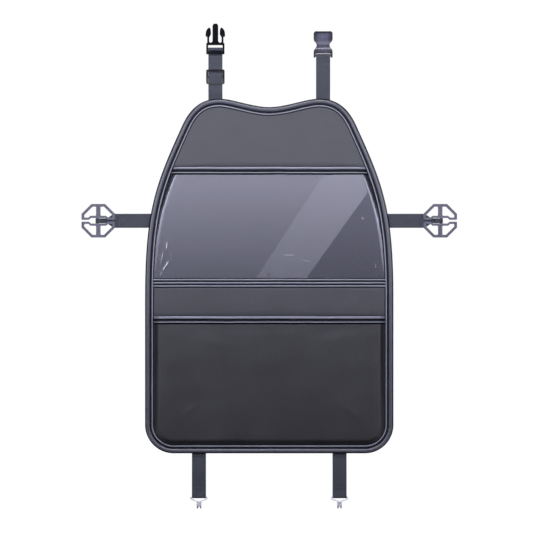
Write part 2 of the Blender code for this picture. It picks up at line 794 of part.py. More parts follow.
def make_side_strap(name, side):
    """Out from the panel, gathered, round the disc's bar and back through its keyhole."""
    loop = bar_loop_radius(DISC_BAR_RADIUS)
    bar = (-DISC_BAR_OFFSET, disc_bar_depth())
    sewn_depth = STRAP_DEPTH + LAYER_STEP
    panel_edge = DISC_SPACING / 2 - half_width(SIDE_STRAP_HEIGHT, 0.0)
    path = [(panel_edge + STRAP_SEWN_LENGTH, STRAP_DEPTH), (panel_edge, STRAP_DEPTH)]
    gather = 8
    step_length = (GATHER_END - GATHER_START) / gather
    path += [(GATHER_END - step_length * step, STRAP_DEPTH) for step in range(gather + 1)]
    path += arc(bar, loop, -90, -270, 12)
    front_depth = bar[1] + loop
    for depth, distance in ease((front_depth, bar[0] + DIVE_START), (sewn_depth, DIVE_END), 7):
        path.append((distance, depth))
    path += [(GATHER_START + step_length * step, sewn_depth) for step in range(1, gather + 1)]
    path.append((GATHER_END + SIDE_TAIL, sewn_depth))
    middle = side * DISC_SPACING / 2
    stations = []
    for distance, depth in path:
        point = front_point(middle - side * distance, depth, SIDE_STRAP_HEIGHT)
        stations.append((point, gathered_width(distance)))
    make_ribbon(name, stations, Vector((0, 0, 1)))


def slider_strap_depth():
    """The depth of the strap's front layer where it passes the slider."""
    return SLIDER_BACK + GAP + STRAP_THICKNESS + GAP + STRAP_THICKNESS / 2


def make_slider():
    """A keeper on the left upper strap: front end bars, and a middle bar behind the webbing."""
    channel_back = SLIDER_BACK
    channel_front = slider_strap_depth() + STRAP_THICKNESS / 2 + GAP
    middle = -UPPER_STRAP_SPACING / 2
    half = SLIDER_WIDTH / 2
    length = SLIDER_LENGTH / 2
    inner = STRAP_WIDTH / 2 + STRAP_EDGE_GAP
    outline = [(half, -length), (half, length), (-half, length), (-half, -length)]
    placed = [(middle + x, SLIDER_HEIGHT + z) for x, z in rounded(outline, SLIDER_CORNER_RADIUS)]
    slider = upright_plate(
        "strap_slider", [placed], 0.0, channel_front + SLIDER_FRONT, BLACK_PLASTIC
    )
    add_bevel(slider, 0.0006)
    cuts = {
        "slider_channel": (channel_back, channel_front, -SLIDER_LENGTH, SLIDER_LENGTH),
        "slider_window": (
            channel_front - GAP,
            channel_front + SLIDER_FRONT + GAP,
            -length + SLIDER_END_BAR,
            length - SLIDER_END_BAR,
        ),
        "slider_back_top": (-GAP, channel_back + GAP, SLIDER_CENTRE_BAR / 2, SLIDER_LENGTH),
        "slider_back_bottom": (-GAP, channel_back + GAP, -SLIDER_LENGTH, -SLIDER_CENTRE_BAR / 2),
    }
    for name, (back, front, low, high) in cuts.items():
        corner_low = (middle - inner, -front, SLIDER_HEIGHT + low)
        corner_high = (middle + inner, -back, SLIDER_HEIGHT + high)
        boolean(slider, box(name, corner_low, corner_high), "DIFFERENCE")
    shade_round(slider)


def male_outline():
    """The right half of the male buckle, from its bottom edge to the tip of its middle prong."""
    half = MALE_WIDTH / 2
    arm_outer = half - ARM_INSET
    arm_inner = arm_outer - ARM_WIDTH
    barb_outer = BARB_SPREAD / 2
    barb_inner = barb_outer - BARB_WIDTH
    belly = BARB_FOOT + (BARB_TOP - BARB_FOOT) * 0.25
    tip = (BARB_TIP_X, BARB_TOP)
    base = [(half, -MALE_BASE_BOTTOM), (half, MALE_BASE_TOP - BASE_ARCH), (arm_outer, MALE_BASE_TOP)]
    arm = [(arm_outer, BARB_FOOT - ARM_INSET / 3), (barb_outer, BARB_FOOT)]
    outer_belly = (barb_outer, belly)
    inner_belly = (barb_inner, belly)
    outer_handle = (barb_outer, BARB_TOP - ARM_WIDTH)
    tip_handle = (tip[0] + ARM_INSET, tip[1])
    outer_side = bezier(outer_belly, outer_handle, tip_handle, tip, 5)
    inner_side = bezier(tip, (barb_inner, tip[1]), (barb_inner, belly + ARM_WIDTH), inner_belly, 4)
    root = [(barb_inner, belly), (arm_inner, BARB_FOOT - ARM_INSET), (arm_inner, MALE_BASE_TOP + ARM_INSET)]
    foot = PRONG_FOOT_WIDTH / 2
    crotch = (foot + arm_inner) / 2
    prong = [
        (crotch, MALE_BASE_TOP),
        (foot, MALE_BASE_TOP + BASE_ARCH),
        (PRONG_NECK_WIDTH / 2, MALE_BASE_TOP + BASE_ARCH + ARM_INSET),
        (PRONG_NECK_WIDTH / 2, PRONG_LENGTH - ARM_WIDTH),
        (PRONG_TIP_WIDTH / 2, PRONG_LENGTH),
    ]
    return base + arm + outer_side + inner_side + root + prong


def make_male_buckle():
    middle = -UPPER_STRAP_SPACING / 2
    inner = MALE_WIDTH / 2 - MALE_RAIL
    outline = rounded(mirrored(male_outline()), MALE_CORNER_RADIUS, steps=2)
    opening = [
        (inner, -MALE_LOWER_BAR_TOP),
        (inner, MALE_SLOT_TOP),
        (-inner, MALE_SLOT_TOP),
        (-inner, -MALE_LOWER_BAR_TOP),
    ]
    loops = []
    for loop in (outline, rounded(opening, MALE_CORNER_RADIUS, steps=2)):
        loops.append([(middle + x, MALE_BAR_HEIGHT + z) for x, z in loop])
    back = MALE_DEPTH - MALE_THICKNESS / 2
    buckle = upright_plate("male_buckle", loops, back, MALE_THICKNESS, BLACK_PLASTIC)
    add_bevel(buckle, 0.0005, segments=1)
    strap_front = slider_strap_depth() + STRAP_THICKNESS / 2 + GAP
    low = (middle - inner, -strap_front, MALE_BAR_HEIGHT - MALE_BASE_BOTTOM - GAP)
    high = (middle + inner, -back + GAP, MALE_BAR_HEIGHT - MALE_LOWER_BAR_TOP + GAP)
    boolean(buckle, box("male_strap_relief", low, high), "DIFFERENCE")
    bar_centre = front_point(middle, MALE_DEPTH, MALE_BAR_HEIGHT)
    bar = rod("male_middle_bar", bar_centre, MALE_BAR_RADIUS, 2 * inner + MALE_RAIL, "X")
    boolean(buckle, bar, "UNION")
    shade_round(buckle)


def female_outline():
    """The right half of the female buckle, from the inside of its lug to its top edge."""
    half = FEMALE_WIDTH / 2
    waist = FEMALE_WAIST / 2
    inner = half - FEMALE_LUG
    lug = [
        (inner, FEMALE_WEB_START),
        (inner, -FEMALE_LUG_LENGTH),
        (half, -FEMALE_LUG_LENGTH),
    ]
    start = (half, FEMALE_SHOULDER_START)
    narrow = (waist, FEMALE_WAIST_HEIGHT)
    wide = (half, FEMALE_FLARE_HEIGHT)
    reach = (FEMALE_WAIST_HEIGHT - FEMALE_SHOULDER_START) / 2
    shoulder = bezier(start, (half, start[1] + reach), (waist, narrow[1] - reach), narrow, 4)
    flare = bezier(narrow, (waist, narrow[1] + reach), (half, wide[1] - reach), wide, 4)
    top = [wide, (half, FEMALE_TOP - FEMALE_TOP_CHAMFER), (half - FEMALE_TOP_CHAMFER, FEMALE_TOP)]
    return lug + shoulder + flare + top


def female_dish(middle):
    """A shallow round hollow across the front, where a thumb lies beside the prongs."""
    front = FEMALE_DEPTH + FEMALE_THICKNESS / 2
    centre = (front - DISH_DEPTH + DISH_RADIUS, FEMALE_BAR_HEIGHT + FEMALE_WAIST_HEIGHT)
    open_angle = math.degrees(math.acos(1 - DISH_DEPTH / DISH_RADIUS)) * 1.1
    profile = arc(centre, DISH_RADIUS, 180 - open_angle, 180 + open_angle, 8)
    sections = []
    for side in (-1, 1):
        x = middle + side * FEMALE_WIDTH
        sections.append([front_point(x, depth, z) for depth, z in profile])
    return solid_from_sections("female_dish", sections, BLACK_PLASTIC, collection=CUTTERS)


def make_female_buckle():
    middle = UPPER_STRAP_SPACING / 2
    outline = rounded(mirrored(female_outline()), FEMALE_CORNER_RADIUS, steps=2)
    loop = [(middle + x, FEMALE_BAR_HEIGHT + z) for x, z in outline]
    back = FEMALE_DEPTH - FEMALE_THICKNESS / 2
    buckle = upright_plate("female_buckle", [loop], back, FEMALE_THICKNESS, BLACK_PLASTIC)
    add_bevel(buckle, 0.0010)
    low = (
        middle - SOCKET_WIDTH / 2,
        -FEMALE_DEPTH - SOCKET_THICKNESS / 2,
        FEMALE_BAR_HEIGHT + SOCKET_FLOOR,
    )
    high = (
        middle + SOCKET_WIDTH / 2,
        -FEMALE_DEPTH + SOCKET_THICKNESS / 2,
        FEMALE_BAR_HEIGHT + FEMALE_TOP + GAP,
    )
    boolean(buckle, female_dish(middle), "DIFFERENCE")
    boolean(buckle, box("female_socket", low, high), "DIFFERENCE")
    bar_centre = front_point(middle, FEMALE_DEPTH, FEMALE_BAR_HEIGHT)
    bar_length = FEMALE_WIDTH - FEMALE_LUG
    boolean(buckle, rod("female_bar", bar_centre, FEMALE_BAR_RADIUS, bar_length, "X"), "UNION")
    shade_round(buckle)


def disc_half_outline():
    """The upper half of an anchor disc as (distance towards the panel, height)."""
    half = DISC_SIZE / 2
    flat = DISC_FLAT / 2
    mouth = DISC_MOUTH / 2
    keyhole = DISC_KEYHOLE_LENGTH / 2
    taper_end = keyhole + DISC_KEYHOLE_TAPER
    right = [
        (keyhole, DISC_KEYHOLE_HEIGHT / 2),
        (taper_end, mouth),
        (half, mouth),
        (half, flat),
        (flat, half),
    ]
    return right + [(-x, z) for x, z in reversed(right)]


def disc_window_outline():
    """One of the disc's four openings, between the band, the spoke and the channel's rail."""
    half = DISC_SIZE / 2 - DISC_BAND
    corner = DISC_FLAT / 2 - DISC_BAND * math.tan(math.radians(22.5))
    spoke = DISC_SPOKE / 2
    rail = DISC_KEYHOLE_HEIGHT / 2 + DISC_RAIL
    mouth_rail = DISC_MOUTH / 2 + DISC_RAIL
    keyhole = (DISC_KEYHOLE_LENGTH + SPOKE_GROOVE_WIDTH) / 2
    return [
        (spoke, rail),
        (keyhole, rail),
        (keyhole + DISC_KEYHOLE_TAPER, mouth_rail),
        (half, mouth_rail),
        (half, corner),
        (corner, half),
        (spoke, half),
    ]


def octagon_arch(inset, low):
    """The upper half of the disc's octagon moved inward, from its right foot to its left one."""
    half = DISC_SIZE / 2 - inset
    corner = DISC_FLAT / 2 - inset * math.tan(math.radians(22.5))
    right = [(half, low), (half, corner), (corner, half)]
    return right + [(-x, z) for x, z in reversed(right)]


def disc_groove_outline():
    """The groove between the two rims of the band, with a branch down the spoke."""
    foot = DISC_MOUTH / 2 + DISC_RIM
    inner = octagon_arch(DISC_BAND - DISC_RIM, foot)
    spoke = SPOKE_GROOVE_WIDTH / 2
    top = inner[2][1]
    rail = DISC_KEYHOLE_HEIGHT / 2 + DISC_RAIL
    branch = [(-spoke, top), (-spoke, rail), (spoke, rail), (spoke, top)]
    return octagon_arch(DISC_RIM, foot) + inner[:2:-1] + branch + inner[2::-1]


def make_disc(name, side):
    """An octagonal disc in two halves that only the bar across its channel joins."""
    middle = side * DISC_SPACING / 2
    outline = rounded(disc_half_outline(), DISC_CORNER_RADIUS, steps=2)
    window = rounded(disc_window_outline(), DISC_CORNER_RADIUS, steps=2)
    loops = []
    for up in (1, -1):
        loops.append([(x, up * z) for x, z in outline[::up]])
        for across in (1, -1):
            loops.append([(across * x, up * z) for x, z in window[:: up * across]])
    placed = [[(middle + x, SIDE_STRAP_HEIGHT + z) for x, z in loop] for loop in loops]
    back = disc_back_depth()
    front = back + DISC_THICKNESS
    disc = upright_plate(name, placed, back, DISC_THICKNESS, GREY_PLASTIC)
    add_bevel(disc, 0.0004, segments=1)
    bar_x = middle + side * DISC_BAR_OFFSET
    bar_length = DISC_KEYHOLE_HEIGHT + DISC_RAIL
    bar_centre = front_point(bar_x, disc_bar_depth(), SIDE_STRAP_HEIGHT)
    bar = rod(f"{name}_bar", bar_centre, DISC_BAR_RADIUS, bar_length, "Z")
    boolean(disc, bar, "UNION", solver="MANIFOLD")
    for up, word in ((1, "upper"), (-1, "lower")):
        groove = [(middle + x, SIDE_STRAP_HEIGHT + up * z) for x, z in disc_groove_outline()]
        for face, start in (("front", front - DISC_RECESS), ("back", back - DISC_RECESS)):
            cutter = upright_plate(
                f"{name}_{word}_{face}_groove",
                [groove],
                start,
                2 * DISC_RECESS,
                GREY_PLASTIC,
                collection=CUTTERS,
            )
            boolean(disc, cutter, "DIFFERENCE", solver="MANIFOLD")
    shade_round(disc)


def hook_bar():
    """Depth and height of a hook's bar, inside its strap's loop."""
    return (bar_loop_radius(WIRE_RADIUS) + STRAP_THICKNESS / 2 + GAP / 3, HOOK_BAR_HEIGHT)


def hook_half_path():
    """Half of a hook's wire as (x, depth, z), from the middle of its bar to its tip."""
    depth, bar_z = hook_bar()
    bend = HOOK_BEND_RADIUS
    bend_x = STRAP_WIDTH / 2 + GAP
    neck = (HOOK_NECK_HALF_WIDTH, bar_z - HOOK_NECK_DROP)
    waist = (neck[0], neck[1] - HOOK_NECK_BEND)
    shoulder = (neck[0] + 1.2 * HOOK_NECK_BEND, neck[1] + HOOK_NECK_BEND / 3)
    curl_z = bar_z - HOOK_CURL_DROP
    flat = [(HOOK_BUTT_GAP / 2, bar_z), (bend_x / 2, bar_z)]
    flat += arc((bend_x, bar_z - bend), bend, 90, 0, 3)
    flat += arc((bend_x, bar_z - HOOK_ARM_DROP + bend), bend, 0, -80, 3)
    flat += bezier(shoulder, (neck[0] + HOOK_NECK_BEND / 3, neck[1]), neck, waist, 3)
    flat.append(waist)
    points = [(x, depth, z) for x, z in flat]
    curl_centre = (depth - HOOK_CURL_RADIUS, curl_z)
    for d, z in arc(curl_centre, HOOK_CURL_RADIUS, 0, -180, 9):
        points.append((neck[0], d, z))
    back = depth - 2 * HOOK_CURL_RADIUS
    tip = (0.0, curl_z + HOOK_TIP_RISE - HOOK_NECK_HALF_WIDTH)
    for x, z in arc(tip, HOOK_NECK_HALF_WIDTH, 0, 90, 3):
        points.append((x, back, z))
    return points


def make_hook(name, side):
    """One bent wire: a bar, two arms that meet at a neck, and a doubled curl behind."""
    middle = side * LOWER_STRAP_SPACING / 2
    half = hook_half_path()
    whole = half + [(-x, depth, z) for x, depth, z in reversed(half[:-1])]
    points = [(middle + x, -depth, z) for x, depth, z in whole]
    wire = poly_curve(name, [points], closed=False, dimensions="3D")
    wire.data.fill_mode = "FULL"
    wire.data.bevel_depth = WIRE_RADIUS
    wire.data.bevel_resolution = 2
    wire.data.use_fill_caps = True
    shade_round(curve_to_part(wire, name, STEEL_WIRE), 60)


def make_straps():
    make_upper_left_strap()
    female_bar = (FEMALE_DEPTH, FEMALE_BAR_HEIGHT)
    right = UPPER_STRAP_SPACING / 2
    make_looped_strap(
        "upper_strap_right", right, PANEL_TOP, 1, female_bar, FEMALE_BAR_RADIUS
    )
    for side, word in ((-1, "left"), (1, "right")):
        make_side_strap(f"side_strap_{word}", side)
        lower = side * LOWER_STRAP_SPACING / 2
        make_looped_strap(
            f"lower_strap_{word}", lower, PANEL_BOTTOM, -1, hook_bar(), WIRE_RADIUS
        )


def make_hardware():
    make_slider()
    make_male_buckle()
    make_female_buckle()
    for side, word in ((-1, "left"), (1, "right")):
        make_disc(f"anchor_disc_{word}", side)
        make_hook(f"wire_hook_{word}", side)


make_panel(strap_openings())
make_pockets()
make_straps()
make_hardware()
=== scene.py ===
# %% [markdown]
# # Dressing a car seat back organizer
#
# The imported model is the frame: it has the true sizes, the rigid pieces and the joints. This script gives
# the organizer its finish. Every soft piece (leatherette, clear film, webbing, backing) is made again as a
# fine mesh in the place of its plain solid, and every rigid piece gets the look of its real material.
# Places and sizes come from the frame, and small ones are named here in millimetres.

# %% The frame and its box
import functools
import json
import math

import bmesh
import bpy
import numpy as np
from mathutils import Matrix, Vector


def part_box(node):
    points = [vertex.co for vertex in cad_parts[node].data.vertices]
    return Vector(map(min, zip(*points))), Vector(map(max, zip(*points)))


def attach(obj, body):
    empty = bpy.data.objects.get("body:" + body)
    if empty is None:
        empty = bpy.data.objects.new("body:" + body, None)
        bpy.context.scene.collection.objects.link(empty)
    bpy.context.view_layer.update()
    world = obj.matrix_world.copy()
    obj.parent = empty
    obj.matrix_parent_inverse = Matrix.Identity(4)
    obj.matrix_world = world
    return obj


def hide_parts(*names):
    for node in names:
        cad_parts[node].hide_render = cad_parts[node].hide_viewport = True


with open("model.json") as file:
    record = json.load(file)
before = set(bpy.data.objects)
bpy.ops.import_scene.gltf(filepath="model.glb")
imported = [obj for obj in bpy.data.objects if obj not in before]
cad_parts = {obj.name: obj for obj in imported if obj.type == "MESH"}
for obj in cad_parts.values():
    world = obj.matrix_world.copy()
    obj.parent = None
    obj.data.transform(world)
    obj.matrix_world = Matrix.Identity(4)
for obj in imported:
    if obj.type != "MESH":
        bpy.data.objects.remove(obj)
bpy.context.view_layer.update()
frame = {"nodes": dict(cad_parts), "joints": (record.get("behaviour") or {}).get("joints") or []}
MM = 0.001
NODES = frame["nodes"]

# %% [markdown]
# ## Small tools
#
# A colour is easiest to read as the hex value that a paint program shows. Shaders work with linear light,
# so one function turns hex into linear numbers. A shader is a tree of nodes, so small functions add one node
# each: the properties are named, and the sockets are set to a value or linked to another node's output.

# %% Colours and shader nodes
def linear(hex_value):
    """Linear red, green, blue and alpha of an sRGB colour such as #30313a."""
    channels = [int(hex_value[place : place + 2], 16) / 255 for place in (1, 3, 5)]
    curve = [c / 12.92 if c <= 0.04045 else ((c + 0.055) / 1.055) ** 2.4 for c in channels]
    return (*curve, 1.0)


def feed(tree, node, sockets):
    """Sets a node's sockets, named or numbered, or links them to other nodes' outputs."""
    for key, value in sockets.items():
        if isinstance(value, bpy.types.NodeSocket):
            tree.links.new(value, node.inputs[key])
        else:
            node.inputs[key].default_value = value


def add_node(tree, kind, sockets=None, **properties):
    """Adds a node, sets its properties and feeds its sockets."""
    made = tree.nodes.new(kind)
    for name, value in properties.items():
        setattr(made, name, value)
    feed(tree, made, sockets or {})
    return made


def new_material(name, sockets):
    """A material with a Principled shader, with its tree and the shader."""
    material = bpy.data.materials.new(name)
    material.use_nodes = True
    tree = material.node_tree
    shader = tree.nodes["Principled BSDF"]
    feed(tree, shader, sockets)
    return material, tree, shader


def surface_material(name, surface_of):
    """A material whose surface is the node that a function of its tree returns."""
    material, tree, shader = new_material(name, {})
    tree.nodes.remove(shader)
    tree.links.new(surface_of(tree).outputs[0], tree.nodes["Material Output"].inputs["Surface"])
    return material


def per_metre(size_mm):
    """The scale of a pattern whose cells measure size_mm."""
    return 1.0 / (size_mm * MM)


def place_of(tree):
    """Coordinates fixed to the piece, in metres."""
    return add_node(tree, "ShaderNodeTexCoord").outputs["Object"]


def parts_of(tree, vector):
    """The X, Y and Z of a vector, by name."""
    return add_node(tree, "ShaderNodeSeparateXYZ", {0: vector}).outputs


def blended(tree, share, first, second):
    """A colour between two colours, by a share from a socket."""
    made = add_node(tree, "ShaderNodeMix", {0: share, 6: first, 7: second}, data_type="RGBA")
    return made.outputs[2]


def ranged(tree, value, low, high, to_low, to_high):
    """A value moved from one range to another."""
    numbers = {"From Min": low, "From Max": high, "To Min": to_low, "To Max": to_high}
    return add_node(tree, "ShaderNodeMapRange", {"Value": value, **numbers}).outputs[0]


def math_node(tree, operation, first, second=0.0):
    return add_node(tree, "ShaderNodeMath", {0: first, 1: second}, operation=operation).outputs[0]


def plus(tree, first, second):
    return math_node(tree, "ADD", first, second)


def minus(tree, first, second):
    return math_node(tree, "SUBTRACT", first, second)


def times(tree, first, second):
    return math_node(tree, "MULTIPLY", first, second)


NOISE_SPAN = (0.3, 0.7)


def noise(tree, place, cell_mm, detail=2.0):
    """Cloudy noise with cells of a size. Nearly all of it lies in its span."""
    sockets = {"Vector": place, "Scale": per_metre(cell_mm), "Detail": detail}
    return add_node(tree, "ShaderNodeTexNoise", sockets).outputs["Fac"]


def bumped(tree, height, depth_mm):
    """A normal that follows a pattern of heights, of a given depth."""
    return add_node(tree, "ShaderNodeBump", {"Height": height, "Distance": depth_mm * MM}).outputs["Normal"]


print("tools ready; #808080 is", [round(c, 3) for c in linear("#808080")])

# %% [markdown]
# ## The panel's outline
#
# The panel is widest near its foot, narrows to two shoulders and dips between them for the headrest. It
# could be traced point by point, but three curves and a round corner say the same with few numbers, and
# any inset line then follows by moving each point along its normal.

# %% Driving sizes of the panel
BINDING_LOW, BINDING_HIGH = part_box("edge_binding")
HALF_WIDTH = BINDING_HIGH.x
PANEL_TOP = BINDING_HIGH.z
PANEL_BOTTOM = BINDING_LOW.z
TOP_DIP = 15.3 * MM
DIP_HANDLE = 30.6 * MM
CREST_X = 90.4 * MM
CREST_INNER_HANDLE = 23.1 * MM
CREST_OUTER_HANDLE = 33.5 * MM
SHOULDER_X = 158.15 * MM
SHOULDER_DROP = 48.5 * MM
SHOULDER_SLOPE = math.radians(24.6)
SHOULDER_UPPER_HANDLE = 34.1 * MM
SHOULDER_LOWER_HANDLE = 117.3 * MM
SIDE_JOIN_DROP = 363 * MM
SIDE_HANDLE = 160 * MM
CORNER_RADIUS = 52 * MM
print("panel", round(2000 * HALF_WIDTH, 1), "x", round(1000 * (PANEL_TOP - PANEL_BOTTOM), 1), "mm")


# %% The outline as evenly spaced points
def bezier(start, handle_a, handle_b, end, steps=60):
    """Points of a cubic curve, without its last one."""
    t = np.arange(steps)[:, None] / steps
    corners = [np.array(corner, float) for corner in (start, handle_a, handle_b, end)]
    weights = ((1 - t) ** 3, 3 * t * (1 - t) ** 2, 3 * t * t * (1 - t), t**3)
    return sum(weight * corner for weight, corner in zip(weights, corners))


def right_edge():
    """The right half of the outline, from the middle of the top to that of the bottom."""
    dip = (0.0, PANEL_TOP - TOP_DIP)
    crest = (CREST_X, PANEL_TOP)
    shoulder = np.array((SHOULDER_X, PANEL_TOP - SHOULDER_DROP))
    slope = np.array((math.sin(SHOULDER_SLOPE), -math.cos(SHOULDER_SLOPE)))
    side = (HALF_WIDTH, PANEL_TOP - SIDE_JOIN_DROP)
    corner = (HALF_WIDTH - CORNER_RADIUS, PANEL_BOTTOM + CORNER_RADIUS)
    turn = np.radians(np.linspace(0, -90, 60))
    rounded = np.array(corner) + CORNER_RADIUS * np.stack([np.cos(turn), np.sin(turn)], 1)
    past_crest = (crest[0] + CREST_OUTER_HANDLE, crest[1])
    above_shoulder = shoulder - slope * SHOULDER_UPPER_HANDLE
    below_shoulder = shoulder + slope * SHOULDER_LOWER_HANDLE
    return np.concatenate([
        bezier(dip, (DIP_HANDLE, dip[1]), (crest[0] - CREST_INNER_HANDLE, crest[1]), crest),
        bezier(crest, past_crest, above_shoulder, shoulder),
        bezier(shoulder, below_shoulder, (HALF_WIDTH, side[1] + SIDE_HANDLE), side),
        [side],
        rounded,
        [(0.0, PANEL_BOTTOM)],
    ])


def evenly_spaced(points, spacing):
    """The same line with its points a set distance apart, and their distances from its start."""
    steps = np.linalg.norm(np.diff(points, axis=0), axis=1)
    run = np.concatenate([[0.0], np.cumsum(steps)])
    count = max(2, round(run[-1] / spacing) + 1)
    distances = np.linspace(0.0, run[-1], count)
    columns = [np.interp(distances, run, points[:, axis]) for axis in range(points.shape[1])]
    return np.stack(columns, 1), distances


def unit(vectors):
    """The same directions, one metre long."""
    return vectors / np.linalg.norm(vectors, axis=1)[:, None]


def inward_normals(loop):
    """Unit normals of a closed clockwise loop, pointing inside."""
    along = unit(np.roll(loop, -1, axis=0) - np.roll(loop, 1, axis=0))
    return np.stack([along[:, 1], -along[:, 0]], 1)


EDGE_SPACING = 1.5 * MM
half_edge = right_edge()
whole_edge = np.concatenate([half_edge, half_edge[::-1] * (-1, 1)])
EDGE, EDGE_RUN = evenly_spaced(whole_edge, EDGE_SPACING)
EDGE, EDGE_RUN = EDGE[:-1], EDGE_RUN[:-1]
EDGE_NORMALS = inward_normals(EDGE)
EDGE_LENGTH = EDGE_RUN[-1] + EDGE_SPACING
print("outline", len(EDGE), "points,", round(EDGE_LENGTH, 3), "m round")


# %% Lines and widths inside the outline
def inset_edge(inset):
    """The outline moved inward."""
    return EDGE + EDGE_NORMALS * inset


@functools.lru_cache(maxsize=None)
def side_line(inset):
    """Heights and half widths along the right side at an inset, from the bottom up."""
    line = inset_edge(inset)
    crest = int(np.argmax(line[: len(line) // 2, 1]))
    foot = len(line) // 2
    side = line[crest:foot]
    side = side[side[:, 0] > CREST_X * 0.5]
    order = np.argsort(side[:, 1])
    return side[order, 1], side[order, 0]


def half_width(z, inset):
    """Half the panel's width at a height, between its inset sides."""
    heights, widths = side_line(inset)
    return np.interp(z, heights, widths)


def side_slope(z):
    """The cosine of the side's lean at a height, which turns a level distance into a true one."""
    step = 1 * MM
    lean = (half_width(z + step, 0.0) - half_width(z - step, 0.0)) / (2 * step)
    return 1 / np.sqrt(1 + lean * lean)


def smooth_step(value, low, high):
    t = np.clip((value - low) / (high - low), 0, 1)
    return t * t * (3 - 2 * t)


print("half width at the middle:", round(1000 * float(half_width(0.0, 0.0)), 1), "mm")


# %% [markdown]
# ## Meshes from rows of points
#
# Cloth, film, bindings and straps are all surfaces that a row of points sweeps out. One function turns
# an array of rows and columns into a mesh, closes it round either way, and keeps a map in metres, along
# and across the cloth, that the weave follows.

# %% The grid mesh
def mesh_piece(name, points, faces):
    """A new piece with a mesh of points and faces, linked into the scene."""
    mesh = bpy.data.meshes.new(name)
    mesh.from_pydata([tuple(point) for point in points], [], faces)
    piece = bpy.data.objects.new(name, mesh)
    bpy.context.scene.collection.objects.link(piece)
    return piece


def grid_mesh(name, points, ring_rows=False, ring_columns=False, caps=0, cloth=None, slots=None):
    """A piece through an array of rows x columns x 3. cloth is (along, across) in metres. caps is how many
    end rows are closed, and slots gives each column of faces its material."""
    index = np.arange(points[..., 0].size).reshape(points.shape[:2])
    below = np.roll(index, -1, axis=0)
    quads = np.stack([index, np.roll(index, -1, axis=1), np.roll(below, -1, axis=1), below], axis=2)
    quads = quads[: None if ring_rows else -1, : None if ring_columns else -1]
    faces = quads.reshape(-1, 4).tolist()
    ends = [index[0][::-1].tolist(), index[-1].tolist()][:caps]
    piece = mesh_piece(name, points.reshape(-1, 3), faces + ends)
    mesh = piece.data
    mesh.shade_smooth()
    if cloth is not None:
        layer = mesh.uv_layers.new(name="cloth")
        place = np.stack(np.broadcast_arrays(cloth[1][None, :], cloth[0][:, None]), axis=2).reshape(-1, 2)
        corners = np.zeros(len(mesh.loops), int)
        mesh.loops.foreach_get("vertex_index", corners)
        layer.data.foreach_set("uv", place[corners].astype(np.float32).ravel())
    if slots is not None:
        rows, columns = quads.shape[:2]
        mesh.polygons.foreach_set("material_index", list(slots[:columns]) * rows + [0] * len(ends))
    return piece


def outward(piece):
    """Turns every face of a closed mesh outward."""
    work = bmesh.new()
    work.from_mesh(piece.data)
    bmesh.ops.recalc_face_normals(work, faces=work.faces)
    work.to_mesh(piece.data)
    work.free()
    return piece


def thicken(piece, thickness):
    """Gives an open sheet its thickness, half on each side."""
    modifier = piece.modifiers.new("Thickness", "SOLIDIFY")
    modifier.thickness = thickness
    modifier.offset = 0.0
    return piece


def finish_piece(piece, materials, body, slot, *nodes):
    """Gives a piece its materials and its body, and hides the nodes it stands for. slot is not used."""
    for material in materials:
        piece.data.materials.append(material)
    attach(piece, body)
    if nodes:
        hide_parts(*nodes)
    print(piece.name, len(piece.data.polygons), "faces on", body)


def waves(x, z, lengths_mm, seed):
    """A gentle unevenness between about -1 and 1, as a sum of long waves at set angles."""
    total = 0.0
    for number, length in enumerate(lengths_mm):
        angle = 2.4 * number + seed
        along = x * math.cos(angle) + z * math.sin(angle)
        total = total + np.sin(along / (length * MM) * 2 * math.pi + 1.7 * number + seed)
    return total / len(lengths_mm)


print("mesh tools ready")

# %% [markdown]
# ## Leatherette
#
# The face, the lower pocket and the edge binding are PVC leatherette: a knitted cloth with a soft vinyl skin
# that a hot roller has embossed with a fine pebble. The skin is dark grey with a little blue in it. The
# pebble could be displaced geometry, but its cells are about a millimetre wide, so bump is enough. It breaks
# the light into a broad satin sheen. A folded and stretched binding is smoother, so it shines more, and the
# thin piping is nearly polished. The binding's copy is painted a shade lighter, partly as painted highlight,
# and the piping's copy much lighter, as painted highlight. The pocket's copy is painted a shade darker, as
# painted shade on the lower panel, and a near-black copy is painted shade in the grooves, along the bead's
# outer edge and beside the ridges.

# %% Leatherette finishes
SLOW_TONE_MM = 70
PEBBLE_EDGE = 0.32
PEBBLE_TONE = 0.65
PORE_HEIGHT = 0.3


def leatherette(name, hollow, crown, pebble_mm, pebble_depth_mm, rough, shine=0.5):
    """Embossed vinyl: pebbles with darker hollows, fine pores, and a slow change of tone."""
    material, tree, shader = new_material(name, {"IOR": 1.52, "Specular IOR Level": shine})
    place = place_of(tree)
    sockets = {"Vector": place, "Scale": per_metre(pebble_mm)}
    cells = add_node(tree, "ShaderNodeTexVoronoi", sockets, feature="DISTANCE_TO_EDGE")
    pebble = ranged(tree, cells.outputs["Distance"], 0.0, PEBBLE_EDGE, 0.0, 1.0)
    pores = noise(tree, place, pebble_mm / 4)
    slow = noise(tree, place, SLOW_TONE_MM)
    tone = ranged(tree, slow, *NOISE_SPAN, 0.0, 1 - PEBBLE_TONE)
    share = plus(tree, times(tree, pebble, PEBBLE_TONE), tone)
    height = plus(tree, pebble, times(tree, pores, PORE_HEIGHT))
    feed(tree, shader, {
        "Base Color": blended(tree, share, linear(hollow), linear(crown)),
        "Roughness": ranged(tree, slow, *NOISE_SPAN, rough - 0.03, rough + 0.03),
        "Normal": bumped(tree, height, pebble_depth_mm),
    })
    return material


